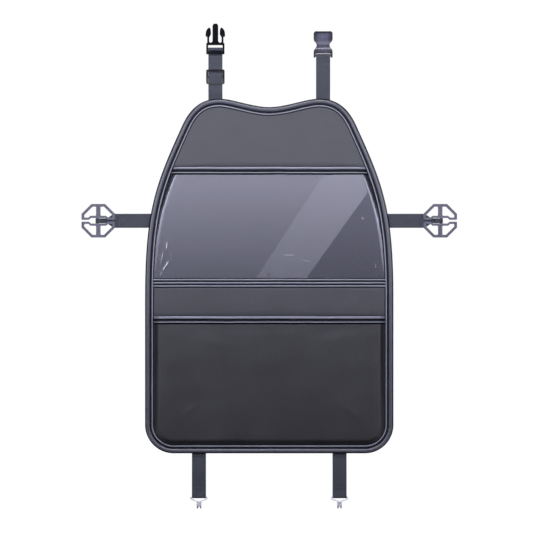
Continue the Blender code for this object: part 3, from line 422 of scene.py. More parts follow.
# Colours of the hollows and the crowns, width and depth of the pebbles in millimetres, and roughness
FACE_VINYL = leatherette("embossed_pvc_leatherette", "#26262b", "#34343b", 1.5, 0.10, 0.36)
# The pocket's copy is painted darker than the face, as painted shade on the lower panel
SHADED_POCKET_VINYL = leatherette("embossed_pvc_leatherette_painted_darker", "#1e1e20", "#2a2a2d", 1.5, 0.10, 0.36)
# The binding's copy is painted lighter than the face, partly as painted highlight on the bead
LIGHTENED_BINDING_VINYL = leatherette("folded_pvc_binding_painted_lighter", "#3c3d45", "#4c4d57", 1.3, 0.04, 0.20)
# The piping's light colour is a painted highlight along the ridges and the beads' fronts
HIGHLIGHT_PIPING_VINYL = leatherette("pvc_piping_painted_highlight", "#6c6e78", "#7e808b", 1.3, 0.02, 0.17)
# A near-black copy that paints the shade in grooves, along the bead's outer edge and beside the ridges
PAINTED_SHADE_VINYL = leatherette("pvc_painted_shade", "#07080b", "#0e0f14", 1.3, 0.04, 0.60, shine=0.03)
print("leatherette finishes ready")

# %% [markdown]
# ## Clear film
#
# The tablet window is calendered soft PVC film about half a millimetre thick. It lets nearly all light
# through, and its two faces mirror about four hundredths of what stands before them. A glass shader would
# bend and darken what lies behind, as a thick block does, so the film is a mix: a Fresnel share of mirror,
# and the rest see-through with a little milky haze from its plasticiser. Folded vinyl turns white along its
# creases, so the haze grows there, and this white is also partly painted highlight for the folds' glints.
# Lines with no fold are painted light alone: the first two are a painted reflection along the film's steep
# left side, and three paint faint light lines across its middle. Each crease is a line between two places,
# in millimetres on the panel.

# %% The film's finish
# Start, end, width and height of each fold in millimetres, and its share of white, partly whitening and
# partly painted highlight; one of no height is only a painted light line
FILM_CREASES = [
    ((-172, 175), (-188.5, 122), 1.8, 0.0, 0.16),
    ((-188, 124), (-197, 82), 1.8, 0.0, 0.12),
    ((-186.5, 63), (-187.5, 48), 1.8, 0.30, 0.75),
    ((-182.5, 29), (-194.5, 8), 1.8, 0.35, 0.75),
    ((-193.5, 44), (-197.5, 20), 1.8, 0.25, 0.30),
    ((-195.5, 8), (-198, -3), 1.8, 0.25, 0.35),
    ((-180, 46), (-178, 22), 2.4, 0.15, 0.12),
    ((170, 107), (171.5, 101), 1.8, 0.15, 0.50),
    ((192, 24), (194, 13), 1.8, 0.25, 0.40),
    ((24, 38.5), (50, 38), 2.0, 0.0, 0.22),
    ((58, 28), (78, 26.5), 2.0, 0.0, 0.18),
    ((14, 31), (70, 32.5), 2.0, 0.0, 0.07),
]
CREASE_HALF_WIDTH = 1.1 * MM
CREASE_WOBBLE = 0.8 * MM
FILM_HAZE = 0.022


def crease_whitening_and_painted_glints(tree):
    """The share of white, from the distance to each crease: whitening and painted highlight on folds, and
    painted light lines where there is no fold.
    """
    place = parts_of(tree, place_of(tree))
    wobble = ranged(tree, noise(tree, place_of(tree), 8), *NOISE_SPAN, -CREASE_WOBBLE, CREASE_WOBBLE)
    total = 0.0
    for start, end, _, _, white in FILM_CREASES:
        run, climb = (end[0] - start[0]) * MM, (end[1] - start[1]) * MM
        length = math.hypot(run, climb)
        x = minus(tree, place["X"], start[0] * MM)
        z = minus(tree, place["Z"], start[1] * MM)
        along = plus(tree, times(tree, x, run / length**2), times(tree, z, climb / length**2))
        away = minus(tree, times(tree, x, climb / length), times(tree, z, run / length))
        away = math_node(tree, "ABSOLUTE", plus(tree, away, wobble))
        line = ranged(tree, away, 0.0, CREASE_HALF_WIDTH, white, 0.0)
        from_middle = math_node(tree, "ABSOLUTE", minus(tree, along, 0.5))
        taper = ranged(tree, from_middle, 0.25, 0.5, 1.0, 0.0)
        total = math_node(tree, "MAXIMUM", times(tree, line, taper), total)
    return total


def mixed(tree, share, first, second):
    """A mix of two surfaces."""
    return add_node(tree, "ShaderNodeMixShader", {0: share, 1: first.outputs[0], 2: second.outputs[0]})


def film_surface(tree):
    mirror_share = add_node(tree, "ShaderNodeFresnel", {"IOR": 1.53})
    clear = add_node(tree, "ShaderNodeBsdfTransparent", {"Color": linear("#f4f4fa")})
    mirror = add_node(tree, "ShaderNodeBsdfGlossy", {"Color": (1, 1, 1, 1), "Roughness": 0.008})
    milk = add_node(tree, "ShaderNodeBsdfDiffuse", {"Color": linear("#e2e4f0")})
    haze = math_node(tree, "MAXIMUM", crease_whitening_and_painted_glints(tree), FILM_HAZE)
    return mixed(tree, mirror_share.outputs[0], mixed(tree, haze, clear, milk), mirror)


FILM = surface_material("soft_pvc_film", film_surface)
print("film ready")

# %% [markdown]
# ## Webbing and thread
#
# The straps are polypropylene webbing, 25 mm wide, woven on a narrow loom: cords of warp run along it, and
# the weft dips under and over them. The real cords are about a millimetre wide, finer than a pixel of the
# picture, so they are drawn about twice as coarse. The height of the weave is worked out from the cloth map:
# one wave across the strap for the cords, one along it for the picks, shifted by half from cord to cord.

# %% Webbing, thread and backing finishes
CORD_PITCH_MM = 25 / 12
PICK_PITCH_MM = 2.4


def arch(tree, value):
    """A rounded wave that rises and falls once in every whole step of a value."""
    wave = math_node(tree, "SINE", times(tree, math_node(tree, "FRACT", value), math.pi))
    return math_node(tree, "POWER", wave, 0.5)


def webbing():
    sockets = {"Roughness": 0.62, "Specular IOR Level": 0.35, "Sheen Weight": 0.25, "Sheen Roughness": 0.45}
    sockets["Sheen Tint"] = linear("#9a9cb4")
    material, tree, shader = new_material("woven_polypropylene_webbing", sockets)
    cloth = add_node(tree, "ShaderNodeUVMap", uv_map="cloth").outputs["UV"]
    place = parts_of(tree, cloth)
    cords = times(tree, place["X"], per_metre(CORD_PITCH_MM))
    picks = times(tree, place["Y"], per_metre(PICK_PITCH_MM))
    shift = times(tree, math_node(tree, "FLOOR", cords), 0.5)
    height = times(tree, arch(tree, cords), arch(tree, plus(tree, picks, shift)))
    fibres = noise(tree, cloth, 0.9, 4.0)
    share = times(tree, height, ranged(tree, fibres, 0.2, 0.8, 0.75, 1.0))
    colour = blended(tree, share, linear("#24262d"), linear("#40434d"))
    feed(tree, shader, {"Base Color": colour, "Normal": bumped(tree, height, 0.35)})
    return material


def sewing_thread():
    """Bonded polyester thread, with the twist of its plies."""
    material, tree, shader = new_material("bonded_polyester_thread", {"Roughness": 0.5})
    sockets = {"Vector": place_of(tree), "Scale": per_metre(2.2), "Distortion": 1.0}
    twist = add_node(tree, "ShaderNodeTexWave", sockets, bands_direction="DIAGONAL")
    colour = blended(tree, twist.outputs["Fac"], linear("#31323a"), linear("#565863"))
    feed(tree, shader, {"Base Color": colour})
    return material


def nonwoven():
    """Spunbonded polypropylene: matted fibres, pressed in a grid of small bond points."""
    material, tree, shader = new_material("spunbond_nonwoven", {"Roughness": 0.9, "Specular IOR Level": 0.2})
    place = place_of(tree)
    sockets = {"Vector": place, "Scale": per_metre(3.2), "Randomness": 0.15}
    points = add_node(tree, "ShaderNodeTexVoronoi", sockets)
    bond = ranged(tree, points.outputs["Distance"], 0.18, 0.32, 0.0, 1.0)
    share = times(tree, bond, ranged(tree, noise(tree, place, 1.6, 6.0), *NOISE_SPAN, 0.3, 1.0))
    colour = blended(tree, share, linear("#1b1b1e"), linear("#38383d"))
    feed(tree, shader, {"Base Color": colour, "Normal": bumped(tree, share, 0.25)})
    return material


WEBBING = webbing()
THREAD = sewing_thread()
NONWOVEN = nonwoven()
print("cloth finishes ready; webbing cords", round(CORD_PITCH_MM, 2), "mm wide")

# %% [markdown]
# ## Moulded and metal finishes
#
# The buckle and the slider are black acetal, moulded in polished steel, so they are glossy with a faint
# ripple. The anchor discs are grey nylon from a spark-eroded mould, which leaves a fine matt texture. The
# hooks are steel wire, drawn and nickel plated: bright, with faint lines along it.

# %% Plastic, wire and board finishes
def moulded(name, colour, worn, ripple_mm, ripple_depth_mm, rough):
    """Moulded plastic: a faint surface texture, and a slightly uneven gloss and tone."""
    material, tree, shader = new_material(name, {"IOR": 1.49})
    place = place_of(tree)
    slow = noise(tree, place, 18, 3.0)
    tone = ranged(tree, slow, 0.35, 0.75, 0.0, 1.0)
    feed(tree, shader, {
        "Base Color": blended(tree, tone, linear(colour), linear(worn)),
        "Roughness": ranged(tree, slow, *NOISE_SPAN, rough - 0.05, rough + 0.05),
        "Normal": bumped(tree, noise(tree, place, ripple_mm), ripple_depth_mm),
    })
    return material


DISH_INSIDE = 0.40
DISH_OUTSIDE = 0.90
DISH_DROP = 5.5 * MM
LIP_DROP = 3.0 * MM


def acetal_with_painted_dish_sheen():
    """The female half's black acetal, with a painted sheen in its dished middle that grows lighter toward the
    top, as painted reflection.
    """
    material = moulded("moulded_acetal_with_painted_dish_sheen", "#101016", "#1c1c25", 1.4, 0.02, 0.24)
    tree = material.node_tree
    shader = tree.nodes["Principled BSDF"]
    black = shader.inputs["Base Color"].links[0].from_socket
    low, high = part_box("female_buckle")
    half = (high.x - low.x) / 2
    place = parts_of(tree, place_of(tree))
    across = math_node(tree, "ABSOLUTE", minus(tree, place["X"], (low.x + high.x) / 2))
    inside = ranged(tree, across, DISH_INSIDE * half, DISH_OUTSIDE * half, 1.0, 0.0)
    below_lip = ranged(tree, place["Z"], high.z - DISH_DROP, high.z - LIP_DROP, 1.0, 0.0)
    # Painted reflection: paler in the dished middle below the lip, and lighter toward the top
    climb = ranged(tree, place["Z"], low.z, high.z, 0.2, 1.0)
    painted_sheen = times(tree, times(tree, inside, below_lip), climb)
    feed(tree, shader, {"Base Color": blended(tree, painted_sheen, black, linear("#4a495c"))})
    return material


def plated_wire():
    sockets = {"Base Color": linear("#dcdce4"), "Metallic": 0.5}
    material, tree, shader = new_material("nickel_plated_steel_wire", sockets)
    streaks = noise(tree, place_of(tree), 1.2, 5.0)
    feed(tree, shader, {"Roughness": ranged(tree, streaks, *NOISE_SPAN, 0.28, 0.38)})
    return material


# Colour, worn colour, width and depth of the ripple in millimetres, and roughness
ACETAL = moulded("moulded_black_acetal", "#08080d", "#101017", 1.4, 0.02, 0.11)
NYLON = moulded("spark_textured_grey_nylon", "#434250", "#504f5e", 0.5, 0.03, 0.38)
ACETAL_WITH_PAINTED_DISH_SHEEN = acetal_with_painted_dish_sheen()
WIRE = plated_wire()
BOARD = moulded("pressed_fibreboard", "#5f5a52", "#6e6860", 0.8, 0.05, 0.85)
print("hard finishes ready")

# %% [markdown]
# ## Edge binding
#
# A strip of leatherette is folded round a cord at the panel's edge and sewn down: from outside in, it shows
# a round bead, a groove with the stitches, and a thin piped ridge. A plain bevelled curve would be smooth
# and even all round. Here one section is swept along the outline, and small puckers are pressed into the
# bead where each stitch pulls. They are deeper where the outline bends, as the strip has more to gather.
# The bead's outer edge, the groove and the lip inside the ridge are painted near black as painted shade, and
# the ridge is painted lighter as painted highlight.

# %% The binding's section
GAP = 0.3 * MM
BEAD_RADIUS = 4.75 * MM
SLOT_INSET = 5.5 * MM
BACK_WIDTH = 12.8 * MM
FRONT_WIDTH = 14.5 * MM
LIP_WIDTH = 1.3 * MM
BACKING_THICKNESS = 0.8 * MM
LEG_BACK_DEPTH = 6.2 * MM
LEG_FRONT_DEPTH = 7.2 * MM
GROOVE_DEPTH = 6.6 * MM
RIDGE_RADIUS = 1.3 * MM
STITCH_INSET = 10.3 * MM
# Faces on the bead's outer edge that are painted dark as shade
SHADED_EDGE_FACES = 14
EDGING = [LIGHTENED_BINDING_VINYL, HIGHLIGHT_PIPING_VINYL, PAINTED_SHADE_VINYL]
PLAIN, HIGHLIGHTED, SHADED = range(3)


def arc(centre, radius, start, end, steps):
    """Points on an arc, in degrees, ends included."""
    turn = np.radians(np.linspace(start, end, steps + 1))
    return [(centre[0] + radius * math.cos(angle), centre[1] + radius * math.sin(angle)) for angle in turn]


def binding_section():
    """The section as (inset, depth), and the material of the face that starts at each point."""
    bead = arc((BEAD_RADIUS, BEAD_RADIUS), BEAD_RADIUS, -90, -336, 24)
    floor = [(9.7 * MM, GROOVE_DEPTH), (STITCH_INSET, GROOVE_DEPTH - 0.05 * MM), (11.1 * MM, GROOVE_DEPTH)]
    ridge = arc((FRONT_WIDTH - RIDGE_RADIUS, LEG_FRONT_DEPTH), RIDGE_RADIUS, 200, -10, 10)
    start = [(SLOT_INSET, BACKING_THICKNESS), (BACK_WIDTH, BACKING_THICKNESS), (BACK_WIDTH, 0.0)]
    lip = FRONT_WIDTH + LIP_WIDTH
    end = [(lip, LEG_FRONT_DEPTH - 0.5 * MM), (lip, LEG_BACK_DEPTH), (SLOT_INSET, LEG_BACK_DEPTH)]
    points = np.array(start + bead + floor + ridge + end)
    # Painted shade on the bead's outer edge, in the groove, on the ridge's flanks and the lip, and painted
    # highlight on the ridge
    slots = [PLAIN] * len(start) + [SHADED] * SHADED_EDGE_FACES + [PLAIN] * (len(bead) - 2 - SHADED_EDGE_FACES)
    slots += [SHADED] * (len(floor) + 3) + [HIGHLIGHTED] * (len(ridge) - 3) + [SHADED] * 3 + [PLAIN] * (len(end) - 1)
    return points, slots


SECTION, SECTION_SLOTS = binding_section()
print("binding section of", len(SECTION), "points")

# %% Puckers and the swept strip
chance = np.random.default_rng(11)


def edge_bend():
    """How sharply the outline turns at each point, from 0 where it is straight to 1 at the corners."""
    ahead = np.roll(EDGE_NORMALS, -6, axis=0)
    behind = np.roll(EDGE_NORMALS, 6, axis=0)
    turn = np.linalg.norm(ahead - behind, axis=1) / (12 * EDGE_SPACING)
    return np.clip(turn * CORNER_RADIUS, 0, 1)


def pucker_depths(run, length, inset):
    """The depth of the puckers at each place along a seam, for a line at one distance from the stitches."""
    depth = np.zeros(len(run))
    for centre, strength, slant, width in zip(PUCKER_PLACES, PUCKER_STRENGTHS, PUCKER_SLANTS, PUCKER_WIDTHS):
        away = (run - centre - slant * inset + length / 2) % length - length / 2
        depth += strength * np.exp(-((away / width) ** 2))
    return depth


pucker_count = int(EDGE_LENGTH / (6.5 * MM))
pucker_shift = chance.uniform(-0.35, 0.35, pucker_count)
PUCKER_PLACES = (np.arange(pucker_count) + pucker_shift) * EDGE_LENGTH / pucker_count
bend_at_pucker = np.interp(PUCKER_PLACES, EDGE_RUN, edge_bend())
PUCKER_STRENGTHS = chance.uniform(0.02, 0.12, pucker_count) * MM * (1 + 1.6 * bend_at_pucker)
PUCKER_SLANTS = chance.uniform(-0.5, 0.5, pucker_count)
PUCKER_WIDTHS = chance.uniform(1.3, 2.3, pucker_count) * MM


def make_binding():
    columns = []
    for inset, depth in SECTION:
        plan = inset_edge(inset)
        place = np.stack([plan[:, 0], np.full(len(plan), -depth), plan[:, 1]], axis=1)
        away = np.array([inset - BEAD_RADIUS, depth - BEAD_RADIUS])
        on_bead = depth > 1.2 * MM and inset < 9.5 * MM and np.hypot(*away) < BEAD_RADIUS * 1.01
        if on_bead and inset != SLOT_INSET:
            away /= np.hypot(*away)
            pull = smooth_step(inset, 1.0 * MM, 8.0 * MM)
            press = pucker_depths(EDGE_RUN, EDGE_LENGTH, inset) * pull
            place[:, 0] -= EDGE_NORMALS[:, 0] * away[0] * press
            place[:, 2] -= EDGE_NORMALS[:, 1] * away[0] * press
            place[:, 1] += away[1] * press
        columns.append(place)
    points = np.stack(columns, axis=1)
    piece = grid_mesh("dressed_edge_binding", points, ring_rows=True, ring_columns=True, slots=SECTION_SLOTS)
    finish_piece(outward(piece), EDGING, "panel", "leatherette", "edge_binding")


make_binding()

# %% [markdown]
# ## Stitches
#
# A sewing machine leaves a row of short threads that dive into the cloth at both ends. Bump could only hint
# at them, so each is a small tapered tube. All the stitches of a seam are one mesh.

# %% Rows of stitches
STITCH_PITCH = 4.2 * MM
STITCH_LENGTH = 3.3 * MM
THREAD_RADIUS = 0.26 * MM
STITCH_SHARES = np.array([0.0, 0.15, 0.5, 0.85, 1.0])
STITCH_LIFT = np.array([-0.30, 0.05, 0.18, 0.05, -0.30]) * MM
STITCH_TAPER = np.array([0.45, 0.9, 1.0, 0.9, 0.45])
THREAD_SIDES = 6
FRONT = np.array((0.0, -1.0, 0.0))


def stitch_row(name, line, pitch=STITCH_PITCH, length=STITCH_LENGTH):
    """Stitches along a line of points, standing proud of the cloth's front."""
    even, distances = evenly_spaced(np.asarray(line, float), 0.5 * MM)
    starts = np.arange(pitch / 2, distances[-1] - length, pitch)
    at = starts[:, None] + STITCH_SHARES[None, :] * length
    centres = np.stack([np.interp(at, distances, even[:, axis]) for axis in range(3)], axis=2)
    along = unit(centres[:, -1] - centres[:, 0])
    aside = unit(np.cross(along, FRONT))
    centres = centres + STITCH_LIFT[None, :, None] * FRONT
    turn = np.linspace(0, 2 * math.pi, THREAD_SIDES, endpoint=False)[None, None, :, None]
    around = np.cos(turn) * aside[:, None, None, :] + np.sin(turn) * FRONT
    rings = centres[:, :, None, :] + THREAD_RADIUS * STITCH_TAPER[None, :, None, None] * around
    index = np.arange(rings[..., 0].size).reshape(rings.shape[:3])
    beside = np.roll(index, -1, axis=2)
    quads = np.stack([index[:, :-1], beside[:, :-1], beside[:, 1:], index[:, 1:]], axis=3)
    ends = np.concatenate([index[:, 0, ::-1], index[:, -1]])
    piece = mesh_piece(name, rings.reshape(-1, 3), quads.reshape(-1, 4).tolist() + ends.tolist())
    piece.data.shade_smooth()
    finish_piece(outward(piece), [THREAD], "panel", "webbing")


seam = inset_edge(STITCH_INSET)
seam_line = np.stack([seam[:, 0], np.full(len(seam), -GROOVE_DEPTH), seam[:, 1]], axis=1)
stitch_row("binding_stitches", np.concatenate([seam_line, seam_line[:1]]))

# %% [markdown]
# ## Face and backing
#
# The face is one piece of leatherette over thin padding. It is held down under the binding and puffs out a
# little in the top field and in the band between the pockets; under the pockets it lies flat. The backing
# is plain nonwoven, flat against the seat.

# %% The face and backing sheets
SEWN_INSET = 6 * MM
FACE_MIDDLE = 3.9 * MM
FACE_THICKNESS = 1.0 * MM
WINDOW_TOP = 199 * MM
WINDOW_SEAM = -3.9 * MM
POCKET_TOP = -72.3 * MM
TOP_PUFF = 1.5 * MM
TOP_DOME = 1.1 * MM
BAND_PUFF = 0.8 * MM
RINGS = 60
RING_CROWDING = 1.7
LAST_RING = 0.9999


def rings_inside(inset):
    """Shrinking copies of an inset outline, close together near the edge, and their distance inside it."""
    outline = inset_edge(inset)[::3]
    shares = 1 - np.linspace(0, 1, RINGS) ** RING_CROWDING * LAST_RING
    plan = outline[None, :, :] * shares[:, None, None]
    inside = np.linalg.norm(plan - outline[None], axis=2)
    return plan, inside


def face_puff(x, z, inside):
    """How far the padding lifts the face."""
    top = smooth_step(z, WINDOW_TOP - 9 * MM, WINDOW_TOP + 5 * MM)
    band = smooth_step(z, POCKET_TOP - 6 * MM, POCKET_TOP + 4 * MM)
    band = band * (1 - smooth_step(z, WINDOW_SEAM - 20 * MM, WINDOW_SEAM - 8 * MM))
    dome = smooth_step(inside, 6 * MM, 55 * MM)
    uneven = 0.12 * MM * waves(x, z, (83, 51, 37), 0.6)
    return top * (TOP_PUFF + TOP_DOME * dome + uneven) + band * (BAND_PUFF + uneven)


def make_face():
    plan, inside = rings_inside(SEWN_INSET)
    x, z = plan[..., 0], plan[..., 1]
    points = np.stack([x, -(FACE_MIDDLE + face_puff(x, z, inside)), z], axis=2)
    piece = grid_mesh("dressed_face_sheet", points, ring_columns=True)
    outward(piece)
    thicken(piece, FACE_THICKNESS)
    finish_piece(piece, [FACE_VINYL], "panel", "leatherette", "face_sheet")


def make_backing():
    plan, _ = rings_inside(BACK_WIDTH + 0.5 * MM)
    x, z = plan[..., 0], plan[..., 1]
    depth = BACKING_THICKNESS / 2 + 0.02 * MM * waves(x, z, (61, 34), 2.1)
    points = np.stack([x, -depth, z], axis=2)
    piece = grid_mesh("dressed_backing_sheet", points, ring_columns=True)
    outward(piece)
    thicken(piece, BACKING_THICKNESS - 0.05 * MM)
    finish_piece(piece, [NONWOVEN], "panel", "nonwoven", "backing_sheet")


make_face()
make_backing()
NODES["stiffener_board"].data.materials.clear()
NODES["stiffener_board"].data.materials.append(BOARD)
print("face, backing and board dressed")

# %% [markdown]
# ## Tablet window
#
# The window is a sheet of clear film, sewn down at both sides and along its foot, and open at the top. It
# leans out from its foot to its mouth and rises steeply beside its side seams. In between it is almost flat,
# which the long straight glare of the photo shows. Soft film keeps the creases of its folding: a few short
# ones near the lower left corner and faint ones elsewhere.

# %% The film
FLANGE_DEPTH = 4.7 * MM
FILM_THICKNESS = 0.8 * MM
FILM_SHEET_THICKNESS = 0.45 * MM
POCKET_THICKNESS = 1.2 * MM
FILM_BULGE = 9 * MM
POCKET_BULGE = 14 * MM
SEAM_INSET = 14.8 * MM
RISE_LENGTH = 13 * MM
FOOT_RISE_LENGTH = 5 * MM
SEAM_WIDTH = 10.1 * MM
HEM_BEAD = 2.7 * MM
CREASE_TAPER = 0.11


def rise(beyond_seam, bulge):
    """How far a pocket stands off, at a distance from its seam."""
    return bulge * np.sin(np.clip(beyond_seam / RISE_LENGTH, 0, 1) * math.pi / 2)


def film_rise(beyond_side, z):
    """The film leans out from its foot to its mouth, and its slope beside the seams widens upward."""
    climb = np.clip((z - WINDOW_SEAM) / (WINDOW_TOP - WINDOW_SEAM), 0, 1)
    reach = FOOT_RISE_LENGTH + (RISE_LENGTH - FOOT_RISE_LENGTH) * climb
    return FILM_BULGE * climb * np.sin(np.clip(beyond_side / reach, 0, 1) * math.pi / 2)


def across_shares(count, edge_share):
    """Places from -1 to 1 across the panel, closer together near both sides."""
    t = np.linspace(-1, 1, count)
    return t * (1 - edge_share) + edge_share * np.sin(t * math.pi / 2)


def crease(x, z, start, end, width, height):
    """A soft fold along a line between two places in millimetres, highest at its middle."""
    ax, az = start[0] * MM, start[1] * MM
    bx, bz = end[0] * MM, end[1] * MM
    length = math.hypot(bx - ax, bz - az)
    along = ((x - ax) * (bx - ax) + (z - az) * (bz - az)) / length**2
    away = ((x - ax) * (bz - az) - (z - az) * (bx - ax)) / length
    taper = np.exp(-((along - 0.5) ** 2) / CREASE_TAPER)
    return height * MM * taper * np.exp(-((away / (width * MM)) ** 2))


def make_film():
    heights = np.concatenate([
        np.linspace(WINDOW_SEAM - SEAM_WIDTH, WINDOW_SEAM, 5)[:-1],
        np.linspace(WINDOW_SEAM, WINDOW_SEAM + 30 * MM, 44)[:-1],
        np.linspace(WINDOW_SEAM + 30 * MM, WINDOW_TOP - 2 * HEM_BEAD, 90),
    ])
    shares = across_shares(230, 0.35)
    widths = half_width(heights, SEWN_INSET)
    x = widths[:, None] * shares[None, :]
    z = np.broadcast_to(heights[:, None], x.shape)
    beside = (half_width(heights, 0.0)[:, None] - np.abs(x)) * side_slope(heights)[:, None] - SEAM_INSET
    beyond = np.minimum(beside, z - WINDOW_SEAM)
    lift = film_rise(beside, z)
    for start, end, width, height, _ in FILM_CREASES:
        lift = lift + crease(x, z, start, end, width, height)
    lift = lift + 0.006 * MM * waves(x, z, (118, 71), 1.3) * smooth_step(beyond, 4 * MM, 30 * MM)
    depth = FLANGE_DEPTH + FILM_THICKNESS / 2 + lift
    piece = grid_mesh("dressed_tablet_window", np.stack([x, -depth, z], axis=2))
    outward(piece)
    thicken(piece, FILM_SHEET_THICKNESS)
    finish_piece(piece, [FILM], "panel", "clear_film", "tablet_window")


make_film()

# %% [markdown]
# ## Hems
#
# Both mouths have a hem of leatherette: a rolled bead on top, a stitched groove and a thin ridge below, as
# in the edge binding. A hem follows its pocket's front, so its section is swept from side to side and moved
# back at both ends, where the pocket comes down to its seam.

# %% The hems
HEM_HEIGHT = 15 * MM
HEM_RIDGE_RADIUS = 1.1 * MM
HEM_RIDGE_DROP = 11.3 * MM
HEM_GROOVE_DROP = 7.9 * MM
HEM_LEG = 0.9 * MM
HEM_BACK_LEG = 0.6 * MM
HEM_BACK_HEIGHT = 7 * MM
HEM_GROOVE_SHARE = 0.55
HEM_END_CLEARANCE = 0.7 * MM
# Faces of the bead's front painted light as highlight, and of its top painted dark as the shadow in the slit
# behind it
HEM_HIGHLIGHTED_FACES = 9
HEM_SHADED_FACES = 7


def hem_section(sheet_thickness):
    """The section as (distance in front of the sheet's middle, height below the top), and its slots."""
    slot = sheet_thickness / 2 + GAP
    front = slot + HEM_LEG
    back = slot + HEM_BACK_LEG
    bead_centre = (front - HEM_BEAD * 0.45, -HEM_BEAD)
    start = -math.degrees(math.acos((front - 0.5 * HEM_LEG - bead_centre[0]) / HEM_BEAD))
    end = math.degrees(math.acos((-back - bead_centre[0]) / HEM_BEAD))
    below = [(slot, -HEM_HEIGHT), (front - 0.3 * HEM_LEG, -HEM_HEIGHT)]
    ridge = arc((front, -HEM_RIDGE_DROP), HEM_RIDGE_RADIUS, -105, 105, 8)
    groove = [
        (front - 0.5 * HEM_LEG, -HEM_GROOVE_DROP - 0.8 * MM),
        (front - HEM_GROOVE_SHARE * HEM_LEG, -HEM_GROOVE_DROP),
    ]
    bead = arc(bead_centre, HEM_BEAD, start, end, 16)
    behind = [(-back, -HEM_BACK_HEIGHT), (-slot, -HEM_BACK_HEIGHT)]
    inside = [(-slot, -2 * HEM_BEAD + GAP), (slot, -2 * HEM_BEAD + GAP)]
    points = np.array(below + ridge + groove + bead + behind + inside)
    # Painted highlight on the ridge and the bead's front, painted shade beside the ridge, in the groove and
    # on the bead's top
    slots = [PLAIN] * (len(below) - 1) + [SHADED] * 2 + [HIGHLIGHTED] * (len(ridge) - 3) + [SHADED] * (len(groove) + 2)
    slots += [HIGHLIGHTED] * HEM_HIGHLIGHTED_FACES + [SHADED] * HEM_SHADED_FACES
    slots += [PLAIN] * (len(points) - len(slots))
    return points, slots


def hem_places(bulge):
    """Distances beyond the side seam near both ends, and how far across the middle each place is."""
    needed = 2 * GAP + HEM_BACK_LEG + HEM_END_CLEARANCE
    end = RISE_LENGTH * math.asin(needed / bulge) * 2 / math.pi
    ramp = np.linspace(end, RISE_LENGTH, 26)
    middle = np.linspace(-1, 1, 150)[1:-1]
    beyond = np.concatenate([ramp, np.full(len(middle), RISE_LENGTH), ramp[::-1]])
    across = np.concatenate([np.full(len(ramp), -1.0), middle, np.full(len(ramp), 1.0)])
    return beyond, across


def make_hem(name, node, top, bulge, sheet_thickness):
    section, slots = hem_section(sheet_thickness)
    beyond, across = hem_places(bulge)
    sheet_depth = FLANGE_DEPTH + sheet_thickness / 2 + rise(beyond, bulge)
    tucks = 0.06 * MM * np.clip(waves(across * 0.2, 0 * across, (11, 6.1, 4.3), 0.4), -1, 0)

    def across_at(z):
        return np.array([float(half_width(z, SEAM_INSET + value)) for value in beyond]) * across

    rows = []
    for forward, drop in section:
        x = across_at(top + drop)
        on_bead = drop > -2 * HEM_BEAD and forward > 0
        depth = sheet_depth + forward + (tucks if on_bead else 0)
        sway = 0.15 * MM * waves(x, 0 * x, (97, 61), 0.9)
        rows.append(np.stack([x, -depth, top + drop + sway], axis=1))
    piece = grid_mesh(name, np.stack(rows, axis=1), ring_columns=True, caps=2, slots=slots)
    finish_piece(outward(piece), EDGING, "panel", "leatherette", node)
    groove_z = top - HEM_GROOVE_DROP
    groove_depth = sheet_depth + sheet_thickness / 2 + GAP + (1 - HEM_GROOVE_SHARE) * HEM_LEG
    seam = np.stack([across_at(groove_z), -groove_depth, np.full(len(beyond), groove_z)], axis=1)
    stitch_row(f"{name}_stitches", seam)


make_hem("dressed_window_hem", "window_mouth_hem", WINDOW_TOP, FILM_BULGE, FILM_THICKNESS)
make_hem("dressed_pocket_hem", "pocket_mouth_hem", POCKET_TOP, POCKET_BULGE, POCKET_THICKNESS)
print("hems in place")

# %% [markdown]
# ## Trim and lower pocket
#
# A strip with three ridges is sewn over the window's foot, and its grooves hold two rows of stitches. Below
# it, the lower pocket is one sheet of leatherette: sewn flat at its sides and round the panel's lower
# corners, it stands off in between, most at its mouth, and sags a little.

# %% The trim over the window's lower seam
TRIM_HEIGHT = 17.1 * MM
TRIM_RIDGES = 3
TRIM_RIDGE_RADIUS = 1.4 * MM
TRIM_BACK = 5.8 * MM
TRIM_FRONT = 6.8 * MM
# The ridges are painted light as highlight, and the grooves near black as shade
TRIM_FINISHES = [HIGHLIGHT_PIPING_VINYL, PAINTED_SHADE_VINYL]
HIGHLIGHTED_RIDGE, SHADED_GROOVE = range(2)


